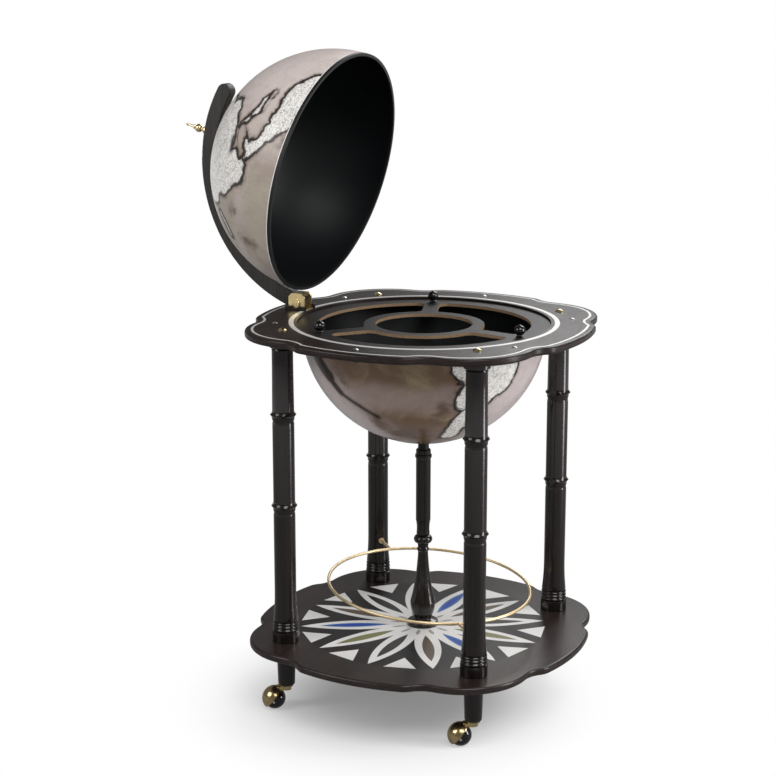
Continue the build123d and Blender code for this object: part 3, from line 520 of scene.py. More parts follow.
@dataclass(frozen=True)
class Moulded:
    """Plain moulded or lacquered surface."""

    name: str
    colour: Colour
    roughness: float = 0.3
    coat: float = 0.0
    cloud_scale: float = 45.0
    grit_scale: float = 1400.0
    dust: Colour = (0.5, 0.48, 0.45)
    dust_share: float = 0.03
    relief_depth: float = 0.00002

    def material(self) -> bpy.types.Material:
        """Build the surface: even colour, soft unevenness and fine dust.

        Returns:
            The material.
        """
        g = Graph(self.name)
        cloud = g.cloud(self.cloud_scale, 4, 0.55)
        grit = g.cloud(self.grit_scale, 2, 0.5)
        colour = g.mix(grit.step(0.6, 0.8) * self.dust_share, self.colour, self.dust)
        rough = self.roughness + cloud.swing(0.12) + grit.swing(0.06)
        g.set(Base_Color=colour, Roughness=rough.held(), Coat_Weight=self.coat)
        g.set(Normal=g.bump(grit, self.relief_depth, 0.3), Specular_IOR_Level=0.35)
        return g.material


@dataclass(frozen=True)
class Inlay:
    """Silver-white veneer strip let into the wood."""

    name: str = "silver inlay"
    light: Colour = (0.80, 0.79, 0.77)
    shade: Colour = (0.60, 0.585, 0.57)
    fleck_scale: Triple = (900, 500, 900)
    cloud_scale: float = 30.0
    relief_depth: float = 0.00003

    def material(self) -> bpy.types.Material:
        """Build the strip: brushed silver tone with fine flecks.

        Returns:
            The material.
        """
        g = Graph(self.name)
        flecks = g.grain(self.fleck_scale, 3, 0.6)
        cloud = g.cloud(self.cloud_scale, 3, 0.5)
        colour = g.mix(flecks.step(0.35, 0.75), self.light, self.shade)
        rough = 0.34 + cloud.swing(0.2)
        g.set(Base_Color=colour, Roughness=rough.held(), Metallic=0.25, Coat_Weight=0.3)
        g.set(Normal=g.bump(flecks, self.relief_depth, 0.4))
        return g.material


@dataclass(frozen=True)
class Petal:
    """Pointed leaf of the compass rose, both tips on a ray from its middle."""

    inner_tip: float
    outer_tip: float
    half_width: float

    def depth(self, along: Value, across: Value) -> Value:
        """Distance inside the leaf's edge, negative outside it.

        Args:
            along: Distance out along the ray.
            across: Distance from the ray.

        Returns:
            The depth in metres.
        """
        half = (self.outer_tip - self.inner_tip) / 2
        middle = (self.outer_tip + self.inner_tip) / 2
        arc = (half**2 + self.half_width**2) / (2 * self.half_width)
        dx = along - middle
        dy = across + (arc - self.half_width)
        return arc - (dx * dx + dy * dy).root()


@dataclass(frozen=True)
class Compass:
    """Twelve-leaf compass rose in silver, blue and olive on a dark ground."""

    name: str = "compass rose"
    leaves: int = 12
    leaf: Petal = Petal(0.004, 0.205, 0.0215)
    heart: Petal = Petal(0.058, 0.172, 0.0092)
    bud: Petal = Petal(0.030, 0.056, 0.0032)
    dart_apex: float = 0.160
    dart_base: float = 0.2035
    dart_half_width: float = 0.0265
    ground: Colour = (0.0120, 0.0085, 0.0078)
    slate: Colour = (0.0180, 0.0175, 0.0185)
    silver: Colour = (0.74, 0.73, 0.715)
    silver_shade: Colour = (0.56, 0.55, 0.535)
    blue: Colour = (0.014, 0.050, 0.31)
    blue_edge: Colour = (0.05, 0.17, 0.38)
    olive: Colour = (0.21, 0.21, 0.085)
    umber: Colour = (0.105, 0.078, 0.055)
    coal: Colour = (0.030, 0.028, 0.028)
    purple: Colour = (0.22, 0.18, 0.30)
    slate_reach: Pair = (0.150, 0.172)
    blue_reach: Pair = (0.0, 0.006)
    fleck_scale: Triple = (700, 700, 700)
    grain_scale: Triple = (30, 360, 30)
    relief_depth: float = 0.00008

    def material(self) -> bpy.types.Material:
        """Build the rose from folded polar coordinates.

        Returns:
            The material.
        """
        g = Graph(self.name)
        x, y, _ = g.axes(g.coordinates())
        radius = (x * x + y * y).root()
        bearing = y.bearing(x)
        sector = math.pi / self.leaves
        off = bearing.fold(sector)
        along, across = radius * off.cosine(), radius * off.sine()
        back = sector - off
        dart_along, dart_across = radius * back.cosine(), radius * back.sine()
        leaf = self._edge(self.leaf.depth(along, across))
        heart_depth = self.heart.depth(along, across)
        heart = self._edge(heart_depth)
        bud = self._edge(self.bud.depth(dart_along, dart_across))
        slope = self.dart_half_width / (self.dart_base - self.dart_apex)
        side = (dart_along - self.dart_apex) * slope - dart_across
        dart = self._edge(side * math.cos(math.atan(slope)))
        dart = dart * self._edge(self.dart_base - dart_along)
        which = (bearing / (2 * sector) + 0.5).floor().cycle(4.0)
        fleck = g.grain(self.fleck_scale, 3, 0.6)
        grain = g.grain(self.grain_scale, 4, 0.6)
        silver = g.mix(fleck.step(0.35, 0.75), self.silver, self.silver_shade)
        blue = g.mix(heart_depth.step(*self.blue_reach), self.blue_edge, self.blue)
        olive = g.mix(fleck, self.olive, times(self.olive, 0.6))
        inside = g.mix(which > 0.5, blue, olive)
        inside = g.mix(which > 1.5, inside, self.coal)
        inside = g.mix(which > 2.5, inside, self.umber)
        dark = g.mix(grain.step(0.3, 0.75), self.ground, times(self.ground, 1.7))
        slate = g.mix(grain.step(0.3, 0.75), self.slate, times(self.slate, 0.75))
        ground = g.mix(1 - radius.step(*self.slate_reach), dark, slate)
        colour = g.mix(dart, ground, silver)
        colour = g.mix(leaf, colour, silver)
        colour = g.mix(heart, colour, inside)
        tint = g.mix(which.cycle(2.0) > 0.5, self.purple, self.olive)
        colour = g.mix(bud * 0.8, colour, tint)
        seams = self._seam(self.leaf.depth(along, across)).larger(self._seam(heart_depth))
        dart_zone = (radius > self.dart_apex) * (radius < self.dart_base)
        seams = seams.larger(self._seam(side) * dart_zone)
        colour = g.mix(seams * 0.65, colour, self.coal)
        rough = 0.33 + fleck.swing(0.14) + grain.swing(0.1)
        g.set(Base_Color=colour, Roughness=rough.held(), Coat_Weight=0.1, Coat_Roughness=0.2)
        g.set(Normal=g.bump(1 - seams, self.relief_depth, 0.5), Specular_IOR_Level=0.25)
        return g.material

    @staticmethod
    def _edge(depth: Value) -> Value:
        """1 inside an edge and 0 outside it."""
        return depth.step(-0.00015, 0.00015)

    @staticmethod
    def _seam(depth: Value) -> Value:
        """Hairline joint along an edge."""
        return 1 - depth.size().step(0.0001, 0.0006)


@dataclass(frozen=True)
class Run:
    """Rounded strip through points given by longitude and latitude, its radius in degrees too."""

    radius: float
    points: tuple[Pair, ...]

    def path(self) -> list[Vector]:
        """Put the points on the unit globe.

        Returns:
            The points, the pole along +Z.
        """
        placed = []
        for longitude, latitude in self.points:
            lon, lat = math.radians(longitude), math.radians(latitude)
            out = math.cos(lat)
            placed.append(Vector((out * math.cos(lon), out * math.sin(lon), math.sin(lat))))
        return placed

    def depth(self, g: Graph, place: Socket) -> Value:
        """Distance inside the strip's edge, in globe radii.

        Args:
            g: The material's graph.
            place: Place on the unit globe.

        Returns:
            The depth, negative outside.
        """
        path = self.path()
        pieces = list(zip(path, path[1:])) or [(path[0], path[0])]
        nearest = self._away(g, place, *pieces[0])
        for start, end in pieces[1:]:
            nearest = nearest.smaller(self._away(g, place, start, end))
        return math.radians(self.radius) - nearest

    @staticmethod
    def _away(g: Graph, place: Socket, start: Vector, end: Vector) -> Value:
        """Distance to the straight piece between two points.

        Args:
            g: The material's graph.
            place: Place on the unit globe.
            start: The first point.
            end: The last point, which may be the first.

        Returns:
            The distance, in globe radii.
        """
        way = end - start
        if way.length < SAME_PLACE:
            return g.vector("DISTANCE", place, tuple(start)).value("Value")
        from_start = g.vector("SUBTRACT", place, tuple(start)).socket()
        along = tuple(way / way.length_squared)
        share = g.vector("DOT_PRODUCT", from_start, along).value("Value").held()
        nearest = g.vector("SCALE", tuple(way), None, None, share).socket()
        return g.vector("DISTANCE", from_start, nearest).value("Value")


@dataclass(frozen=True)
class Shores:
    """Made-up shores of one half: lands less bays, islets, drawn strokes and stains."""

    lands: tuple[Run, ...]
    bays: tuple[Run, ...]
    islets: tuple[Run, ...]
    strokes: tuple[Run, ...]
    stains: tuple[Run, ...]


@dataclass(frozen=True)
class Waters:
    """One half's sea: pale at its spots, painted light; deep beyond a reach from them, painted
    shade.
    """

    pale: Colour
    deep: Colour
    green: Colour
    band: Colour
    band_heights: Pair
    painted_light_spots: tuple[Run, ...]
    painted_light_reach: Pair


@dataclass(frozen=True)
class Chart:
    """Old-style map of made-up lands round half a globe, black inside."""

    name: str
    centre: Triple
    radius: float
    tilt: float
    shores: Shores
    waters: Waters
    gloss: float = 0.15
    umber: Colour = (0.100, 0.062, 0.045)
    land: Colour = (0.82, 0.80, 0.775)
    land_shade: Colour = (0.31, 0.28, 0.25)
    ink: Colour = (0.018, 0.012, 0.011)
    edging: Colour = (0.78, 0.77, 0.75)
    inside: Colour = (0.0024, 0.0032, 0.0038)
    wall: float = 0.002
    coast_bend: float = 0.09
    coast_rag: float = 0.11
    stain_rag: float = 0.22
    stain_reach: Pair = (-0.06, 0.04)
    stain_share: float = 0.75
    line_reach: Pair = (0.0075, 0.0195)
    line_share: float = 0.93
    stroke_haze: Pair = (-0.045, 0.004)
    stroke_core: Pair = (-0.012, 0.002)
    edging_reach: Pair = (0.0150, 0.0190)
    shoal_reach: Pair = (-0.050, -0.002)
    relief_depth: float = 0.00003

    def material(self) -> bpy.types.Material:
        """Build the map: coasts, shoals, relief, borders and the black inside.

        Returns:
            The material.
        """
        g = Graph(self.name)
        turn = Euler((math.radians(self.tilt), 0, 0)).to_matrix()
        shift = -(turn @ Vector(self.centre)) / self.radius
        place = g.placed((1 / self.radius,) * 3, (self.tilt, 0, 0), shift)
        x, y, z = g.axes(place)
        ball = (x * x + y * y + z * z).root()
        grit = g.noise(place, 60.0, 4, 0.7)
        fine = g.noise(place, 240.0, 2, 0.6)
        paper = g.noise(place, 3.2, 6, 0.62)
        coast = self._coast(g, place)
        islets = self._union(g, place, self.shores.islets) + fine.swing(0.012)
        coast = coast.larger(islets)
        water = self._sea(g, place, z, coast, paper, grit)
        blot = g.noise(place, 15.0, 4, 0.65)
        stain = self._union(g, place, self.shores.stains) + blot.swing(self.stain_rag)
        stain = stain.step(*self.stain_reach)
        water = g.mix(stain * self.stain_share, water, self.umber)
        chart = g.mix(coast.step(-0.002, 0.002), water, self._ground(g, place, coast, grit))
        line = 1 - (coast.size() + fine.swing(0.008)).step(*self.line_reach)
        strokes = self._union(g, place, self.shores.strokes)
        haze = (strokes + paper.swing(0.02)).step(*self.stroke_haze)
        drawn = haze * 0.8 + strokes.step(*self.stroke_core) * 0.3
        chart = g.mix(line.larger(drawn.held()) * self.line_share, chart, self.ink)
        chart = g.mix(fine.step(0.62, 0.82) * 0.12, chart, self.umber)
        chart = g.mix(1 - z.size().step(*self.edging_reach), chart, self.edging)
        outer = ball > (1 - self.wall / self.radius)
        colour = g.mix(outer, self.inside, chart)
        rough = 0.48 - outer * 0.18 + paper.swing(0.10) + fine.swing(0.05)
        coat = outer * self.gloss
        g.set(Base_Color=colour, Roughness=rough.held(), Coat_Weight=coat, Coat_Roughness=0.12)
        g.set(Normal=g.bump(grit, self.relief_depth, 0.3), Specular_IOR_Level=0.2)
        return g.material

    def _sea(
        self, g: Graph, place: Socket, height: Value, coast: Value, paper: Value, grit: Value
    ) -> Socket:
        """Sea: pale places as painted light, a deep side where its own colours stand for painted
        shade, green patches, a lilac band, veins and dark shoals.

        Args:
            g: The material's graph.
            place: Place on the unit globe.
            height: Height over the half's rim.
            coast: Distance inside the nearest coast.
            paper: Broad noise.
            grit: Fine noise.

        Returns:
            The sea's colour.
        """
        waters = self.waters
        drift = g.noise(place, 2.1, 4, 0.55, 0.6)
        # Painted light and shade: the sea turns pale near the listed spots, and its own darker
        # colours show away from them as painted shade.
        deep = -self._union(g, place, waters.painted_light_spots)
        deep = (deep + drift.swing(0.35)).step(*waters.painted_light_reach)
        patch = g.mix(drift.step(0.42, 0.62), waters.deep, waters.green)
        low, high = waters.band_heights
        wavy = height + drift.swing(0.22)
        band = wavy.step(low - 0.08, low + 0.06) * (1 - wavy.step(high - 0.06, high + 0.08))
        patch = g.mix(band * 0.75, patch, waters.band)
        water = g.mix(deep, waters.pale, patch)
        water = g.mix(paper.step(0.60, 0.78) * 0.30, water, self.umber)
        water = g.mix(grit.step(0.42, 0.74) * 0.16, water, waters.deep)
        vein = 1 - (paper - 0.5).size().step(0.003, 0.04)
        water = g.mix(vein * 0.09, water, self.umber)
        shoal = coast.step(*self.shoal_reach)
        return g.mix(shoal * (shoal * 0.6 + 0.4) * 0.95, water, self.umber)

    def _ground(self, g: Graph, place: Socket, coast: Value, grit: Value) -> Socket:
        """Land: pale paper with specks, borders, ranges and a shaded edge.

        Args:
            g: The material's graph.
            place: Place on the unit globe.
            coast: Distance inside the nearest coast.
            grit: Fine noise.

        Returns:
            The land's colour.
        """
        ground = g.mix(grit.step(0.50, 0.66) * 0.9, self.land, self.land_shade)
        ground = g.mix(self._land_marks(g, place), ground, self.land_shade)
        return g.mix((1 - coast.step(0.0, 0.035)) * 0.45, ground, self.land_shade)

    @staticmethod
    def _union(g: Graph, place: Socket, runs: Sequence[Run]) -> Value:
        """Join runs.

        Args:
            g: The material's graph.
            place: Place on the unit globe.
            runs: The runs.

        Returns:
            The greatest depth inside any of them.
        """
        deepest: Value | None = None
        for run in runs:
            depth = run.depth(g, place)
            deepest = depth if deepest is None else deepest.larger(depth)
        return deepest

    def _coast(self, g: Graph, place: Socket) -> Value:
        """Find the coast, roughened into bays and capes.

        Args:
            g: The material's graph.
            place: Place on the unit globe.

        Returns:
            The distance inside the nearest coast, in globe radii, negative at sea.
        """
        warp = g.swirl(place, 4.2, 3.0, 0.5)
        pull, back = (self.coast_bend,) * 3, (-self.coast_bend / 2,) * 3
        push = g.vector("MULTIPLY_ADD", warp, pull, back).socket()
        bent = g.vector("ADD", place, push).socket()
        lands = self._union(g, bent, self.shores.lands)
        shape = lands.smaller(-self._union(g, bent, self.shores.bays))
        return shape + g.noise(place, 8.0, 8, 0.62, 0.5).swing(self.coast_rag)

    @staticmethod
    def _land_marks(g: Graph, place: Socket) -> Value:
        """Mark the land with borders, rivers, dots and ranges.

        Args:
            g: The material's graph.
            place: Place on the unit globe.

        Returns:
            The marks' strength, from 0 to 1.
        """
        shake = g.swirl(place, 9.0, 4.0, 0.6)
        bent = g.vector("MULTIPLY_ADD", shake, (0.12, 0.12, 0.12), place).socket()
        border = 1 - g.cells(bent, 6.5, "DISTANCE_TO_EDGE").step(0.006, 0.02)
        river = 1 - (g.noise(place, 7.0, 5, 0.55) - 0.5).size().step(0.002, 0.012)
        dots = 1 - g.cells(place, 55.0).step(0.16, 0.34)
        peaks = g.noise(place, 26.0, 5, 0.75, 0.8).step(0.54, 0.66)
        marks = (border * 0.5).larger(river * 0.4).larger(dots * 0.6)
        return marks.larger(peaks * 0.7)


@dataclass(frozen=True)
class TrayBoard:
    """Dark stained board whose cut edges show raw tan wood."""

    name: str = "tray board"
    top: Colour = (0.0080, 0.0068, 0.0065)
    top_light: Colour = (0.0210, 0.0175, 0.0160)
    edge: Colour = (0.33, 0.22, 0.13)
    streak_scale: Triple = (12, 420, 420)
    fibre_scale: Triple = (260, 260, 1500)
    relief_depth: float = 0.00012

    def material(self) -> bpy.types.Material:
        """Build the board: faint grain on its faces and fibrous tan on its edges.

        Returns:
            The material.
        """
        g = Graph(self.name)
        _, _, up = g.axes(g.coordinates("Normal"))
        streaks = g.grain(self.streak_scale, 4, 0.6)
        fibre = g.grain(self.fibre_scale, 4, 0.65)
        face = g.mix(streaks.step(0.3, 0.75), self.top, self.top_light)
        side = g.mix(fibre.step(0.3, 0.7), self.edge, times(self.edge, 0.55))
        cut = 1 - up.size().step(0.3, 0.6)
        rough = 0.42 + cut * 0.35 + streaks.swing(0.12)
        g.set(Base_Color=g.mix(cut, face, side), Roughness=rough.held(), Specular_IOR_Level=0.2)
        g.set(Normal=g.bump(streaks + fibre * cut, self.relief_depth, 0.5))
        return g.material


# Shared finishes

BOARD_WOOD = Wood(
    "board wood", (0.0070, 0.0042, 0.0036), (0.0270, 0.0165, 0.0140), Grain.X,
    roughness=0.38, coat=0.12, shine=0.22,
)
# The board wood's colours made about a third lighter: a painted sheen of the light from behind.
SHELF_WOOD_WITH_PAINTED_SHEEN = Wood(
    "shelf wood with painted sheen", (0.0090, 0.0058, 0.0052), (0.0340, 0.0220, 0.0195), Grain.X,
    roughness=0.34, coat=0.22, shine=0.30,
)
LEG_WOOD = Wood(
    "leg wood", (0.0034, 0.0021, 0.0017), (0.0125, 0.0078, 0.0062), Grain.Z,
    roughness=0.26, coat=0.9, streak=0.5, shine=0.10, relief=0.12, coat_roughness=0.16,
)
ARM_WOOD = Wood(
    "arm wood", (0.023, 0.021, 0.019), (0.050, 0.046, 0.043), Grain.Z,
    roughness=0.45, coat=0.10, shine=0.25,
)
BRASS = Metal("pale brass", (0.86, 0.70, 0.40), 0.14)
RAIL_BRASS = Metal("rail brass", (0.95, 0.76, 0.47), 0.42, (0.62, 0.47, 0.27), 0.2)
CASTER_BRASS = Metal("caster brass", (0.66, 0.51, 0.26), 0.20, (0.13, 0.085, 0.045), 0.75)
# Near black steel for the nuts under the flange: painted shade.
SHADE_DARKENED_STEEL = Metal("steel darkened as painted shade", (0.055, 0.054, 0.053), 0.42, (0.06, 0.055, 0.05))
HINGE_BRASS = Metal("hinge brass", (0.92, 0.74, 0.38), 0.30)
STEEL = Metal("bright steel", (0.74, 0.73, 0.71), 0.24, (0.42, 0.41, 0.40))
# Steel screws whose lower ends turn near black: painted shade.
SCREW_STEEL = Metal(
    "screw steel", (0.74, 0.73, 0.71), 0.24, (0.42, 0.41, 0.40), painted_shade_below=0.63
)
BLACK = Moulded("gloss black", (0.0045, 0.0045, 0.0050), 0.10, 0.5)
DARK_RIM = Moulded("dark edging", (0.0080, 0.0072, 0.0072), 0.42)
SILVER = Inlay()
TRAY = TrayBoard()
ROSE = Compass()

NORTHERN_SHORES = Shores(
    lands=(
        Run(9, ((-152, 42), (-165, 39), (-178, 38), (172, 37))),
        Run(8, ((-178, 25), (172, 34))),
        Run(3.4, ((-169, 20), (-162, 14), (-157, 10), (-153, 5))),
        Run(3, ((-162, 25), (-166, 20))),
        Run(1.7, ((-157, 28), (-147, 21), (-138, 18))),
        Run(3, ((-125, 2), (-130, 4))),
        Run(5.5, ((-134, 4), (-144, 6), (-150, 6))),
        Run(10.5, ((-148, 54), (-170, 54), (168, 50), (164, 45))),
        Run(17, ((62, 38), (30, 24))), Run(11, ((20, 12), (44, 8))),
        Run(13, ((-62, 46), (-40, 22))), Run(9, ((112, 60), (96, 44))),
        Run(5, ((104, 16), (92, 8))),
    ),
    bays=(
        Run(3.3, ((-159, 26), (-166, 25), (-169, 23))),
        Run(2.0, ((-160, 20), (-152, 18), (-144, 18), (-137, 17))),
        Run(3.2, ((-158, 18), (-153, 15), (-149, 16))),
        Run(5, ((52, 22), (44, 30))),
    ),
    islets=(Run(1.5, ((150, 34), (146, 29), (141, 26))),),
    strokes=(Run(0.25, ((-171, 30), (-164, 31))),),
    stains=(
        Run(1.6, ((146, 15), (146, 10))), Run(1.2, ((160, 22),)),
        Run(4.0, ((-150, -4), (-158, -2))),
    ),
)
SOUTHERN_SHORES = Shores(
    lands=(
        Run(14, ((-124, -10), (-120, -14))), Run(9, ((-126, -23), (-128, -26))),
        Run(4.5, ((-127, -34), (-132, -44), (-135, -54))),
        Run(3, ((-140, -10), (-136, -15))), Run(13, ((28, -24), (40, -36))),
        Run(7, ((58, -46), (44, -56))), Run(9, ((-28, -58), (-40, -50))),
        Run(8, ((108, -24), (98, -34))), Run(7, ((-40, -12), (-26, -16))),
    ),
    bays=(Run(4, ((14, -30), (24, -34))),),
    islets=(Run(1.6, ((-92, -62), (-86, -60))),),
    strokes=(
        Run(3.0, ((146, -11), (150, -16), (153, -19))), Run(1.4, ((153, -20), (158, -27))),
        Run(0.4, ((158, -27), (168, -33), (178, -39))),
    ),
    stains=(
        Run(3.2, ((176, -42), (178, -48))), Run(4.0, ((-176, -53), (-160, -50))),
        Run(2.0, ((-144, -30), (-146, -38))), Run(2.0, ((160, -14), (163, -20))),
    ),
)
# The dome's sea pales towards a spot near its top as painted light from above, and darkens away
# from it as painted shade.
NORTHERN_SEA = Waters(
    pale=(0.62, 0.54, 0.515),
    deep=(0.315, 0.255, 0.22),
    green=(0.38, 0.335, 0.275),
    band=(0.47, 0.40, 0.38),
    band_heights=(0.30, 0.36),
    painted_light_spots=(Run(0.0, ((-112, 12),)),),
    painted_light_reach=(0.35, 1.15),
)
# The bowl's sea colours are darker and browner than the dome's: painted shade under the table
# board. Its two pale spots are painted light.
SOUTHERN_SEA = Waters(
    pale=(0.53, 0.46, 0.455),
    deep=(0.132, 0.077, 0.046),
    green=(0.255, 0.195, 0.115),
    band=(0.290, 0.225, 0.205),
    band_heights=(-0.56, -0.36),
    painted_light_spots=(Run(0.0, ((-76, -28),)), Run(-22.0, ((134, -30), (146, -50)))),
    painted_light_reach=(0.50, 0.95),
)


class Dresser:
    """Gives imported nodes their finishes, building each finish once."""

    def __init__(self, nodes: dict[str, Piece]) -> None:
        """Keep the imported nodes.

        Args:
            nodes: The nodes by name.
        """
        self.nodes = nodes
        self.made: dict[str, bpy.types.Material] = {}

    def material(self, finish: Any) -> bpy.types.Material:
        """Find a finish's material, and build it on first use.

        Args:
            finish: The finish.

        Returns:
            The material.
        """
        if finish.name not in self.made:
            self.made[finish.name] = finish.material()
        return self.made[finish.name]

    def paint(self, thing: Piece, finish: Any) -> None:
        """Give one object a single finish."""
        thing.data.materials.clear()
        thing.data.materials.append(self.material(finish))

    def dress(self, finish: Any, *names: str) -> None:
        """Give nodes a finish.

        Args:
            finish: The finish.
            *names: The nodes.
        """
        for name in names:
            node = self.nodes[name]
            for slot in node.material_slots:
                slot.material = self.material(finish)
            LOG.info("%s: %s", name, finish.name)


# Turned pieces


@dataclass(frozen=True)
class Bulge:
    """Rounded swell of a turned outline, from one height to another."""

    radius: float
    low: float
    high: float
    proud: float
    steps: int = 6

    def rings(self) -> list[Pair]:
        """Round the swell.

        Returns:
            Radius and height of each ring, from the bottom up.
        """
        shares = [step / self.steps for step in range(self.steps + 1)]
        tall = self.high - self.low
        outs = [self.proud * math.sin(math.pi * share) for share in shares]
        return [(self.radius + out, self.low + tall * s) for out, s in zip(outs, shares)]


def added(primitive: Callable[..., Any], **settings: Any) -> Piece:
    """Add a primitive with nothing else selected.

    Args:
        primitive: The operator that adds it.
        **settings: The operator's settings.

    Returns:
        The new piece, active and selected.
    """
    bpy.ops.object.select_all(action="DESELECT")
    primitive(**settings)
    return bpy.context.object


def turned(name: str, outline: Sequence[Pair], sides: int = 64) -> Piece:
    """Turn a closed piece about the world's Z axis, extruding and resizing one ring.

    Args:
        name: The piece's name.
        outline: Radius and height of each ring, from the bottom up.
        sides: How many sides a ring has.

    Returns:
        The piece, at the origin.
    """
    radius, height = outline[0]
    piece = added(
        bpy.ops.mesh.primitive_circle_add,
        vertices=sides, radius=radius, fill_type="NGON", location=(0, 0, height),
    )
    piece.name = name
    bpy.ops.object.mode_set(mode="EDIT")
    bpy.ops.mesh.select_all(action="SELECT")
    for next_radius, next_height in outline[1:]:
        rise = (0, 0, next_height - height)
        bpy.ops.mesh.extrude_region_move(TRANSFORM_OT_translate={"value": rise})
        share = next_radius / radius
        bpy.ops.transform.resize(value=(share, share, 1), center_override=(0, 0, next_height))
        radius, height = next_radius, next_height
    bpy.ops.mesh.select_all(action="SELECT")
    bpy.ops.mesh.normals_make_consistent(inside=False)
    bpy.ops.object.mode_set(mode="OBJECT")
    return finished(piece, TURNED_SMOOTH)


def finished(piece: Piece, smooth: float) -> Piece:
    """Settle a piece's transform in its mesh and smooth it.

    Args:
        piece: The active and only selected piece.
        smooth: Degrees under which an edge is smooth.

    Returns:
        The piece, its object at the origin.
    """
    bpy.ops.object.transform_apply(location=True, rotation=True, scale=True)
    bpy.ops.object.shade_smooth_by_angle(angle=math.radians(smooth))
    return piece


def copied(pattern: Piece, name: str, place: Vector) -> Piece:
    """Copy a finished piece with a mesh of its own, moved in its mesh.

    Args:
        pattern: The piece to copy.
        name: The copy's name.
        place: How far the copy's mesh is moved.

    Returns:
        The copy, its object at the origin.
    """
    piece = pattern.copy()
    piece.data = pattern.data.copy()
    piece.name = name
    piece.data.transform(Matrix.Translation(place))
    bpy.context.scene.collection.objects.link(piece)
    return piece


# Sub-assemblies


@dataclass
class Legs:
    """Four turned legs with ridged nodes, between the shelf and the table board."""

    dresser: Dresser
    corners: tuple[str, ...] = CORNERS
    shaft: float = 0.0177
    neck: float = 0.0171
    base_height: float = 0.018
    base_beads: tuple[float, ...] = (0.0026, 0.0028, 0.0030)
    bead_height: float = 0.0056
    bead_proud: float = 0.0021
    collar: tuple[Pair, ...] = ((-0.0022, 0.0006), (-0.0016, 0.0026))
    taper_height: float = 0.085
    taper_shares: tuple[float, ...] = (0.15, 0.3, 0.5, 0.75, 1.0)
    nodes: tuple[float, ...] = (0.2315, 0.3835)
    groove: tuple[Pair, ...] = (
        (0, -2.7), (-0.0003, -2.3), (-0.0009, -1.9), (0.0002, -1.45), (0.0005, -1.1),
    )
    ridge: float = 0.0034
    ridge_half: float = 0.0058
    ridge_shares: tuple[float, ...] = (-0.75, -0.5, -0.25, -0.1, 0, 0.1, 0.25, 0.5, 0.75)
    ridge_power: float = 1.5
    ridge_end: float = 1.15
    cap_height: float = 0.0145
    cap_proud: float = 0.0040
    throat: tuple[Pair, ...] = (
        (0, -0.030), (0, -0.0050), (0.0006, -0.0036), (-0.0004, -0.0008),
    )
    edge: float = 0.001

    def build(self) -> None:
        """Turn one leg, copy it to the four corners and stand each in for its plain one."""
        low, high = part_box(f"leg_{self.corners[0]}")
        pattern = turned("leg pattern", self.outline((high.x - low.x) / 2, high.z - low.z))
        self.dresser.paint(pattern, LEG_WOOD)
        for corner in self.corners:
            low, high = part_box(f"leg_{corner}")
            place = Vector(((low.x + high.x) / 2, (low.y + high.y) / 2, low.z))
            leg = copied(pattern, f"turned_leg_{corner}", place)
            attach(leg, "stand")
            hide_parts(f"leg_{corner}")
            LOG.info("%s: %s", leg.name, LEG_WOOD.name)
        bpy.data.objects.remove(pattern)

    def outline(self, block: float, length: float) -> list[Pair]:
        """Radius and height of each ring of a leg.

        Args:
            block: Radius of the base.
            length: Height of the leg.

        Returns:
            The rings, from the bottom up.
        """
        edge, foot = self.edge, self.base_height
        rings = [(block - edge, 0), (block, edge), (block, foot - edge), (block - edge, foot)]
        for inset in self.base_beads:
            top = foot + self.bead_height
            rings += Bulge(block - inset, foot + edge * 0.4, top, self.bead_proud).rings()
            foot = top
        rings += [(block + out, foot + up) for out, up in self.collar]
        wide, low = rings[-1]
        for share in self.taper_shares:
            radius = wide + (self.shaft - wide) * (1 - (1 - share) ** 2)
            rings.append((radius, low + (self.taper_height - low) * share))
        for node in self.nodes:
            rings += self._node(node)
        cap_low, cap = length - self.cap_height, self.neck + self.cap_proud
        rings += [(self.neck + out, cap_low + up) for out, up in self.throat]
        rings += [(cap - edge, cap_low), (cap, cap_low + edge)]
        return rings + [(cap, length - edge), (cap - edge, length)]

    def _node(self, height: float) -> list[Pair]:
        """Turn one node: a faint groove and swell under a sharp ridge.

        Args:
            height: The ridge's height up the leg.

        Returns:
            Radius and height of each ring, from the bottom up.
        """
        shaft, half = self.shaft, self.ridge_half
        rings = [(shaft + out, height + half * up) for out, up in self.groove]
        for share in self.ridge_shares:
            out = self.ridge * (1 - abs(share)) ** self.ridge_power
            rings.append((shaft + out, height + half * share))
        return rings + [(shaft, height + half * self.ridge_end)]


@dataclass
class Stand:
    """Boards, feet, column, rail and their fastenings."""

    dresser: Dresser
    corners: tuple[str, ...] = CORNERS

    def build(self) -> None:
        """Dress the stand."""
        dress = self.dresser.dress
        dress(BOARD_WOOD, "table_board")
        dress(SHELF_WOOD_WITH_PAINTED_SHEEN, "shelf")
        dress(SILVER, "outline_inlay", "ring_inlay")
        dress(ROSE, "compass_panel")
        dress(LEG_WOOD, "column", *(f"foot_{corner}" for corner in self.corners))
        dress(BRASS, "leg_bolts")
        dress(RAIL_BRASS, "rail_ring", "rail_pins")
        dress(DARK_RIM, "column_cap")
        dress(SCREW_STEEL, "bowl_screws")
        dress(STEEL, "foot_studs", "column_screw", "bowl_anchor_screw")
        dress(SHADE_DARKENED_STEEL, "bowl_nuts")


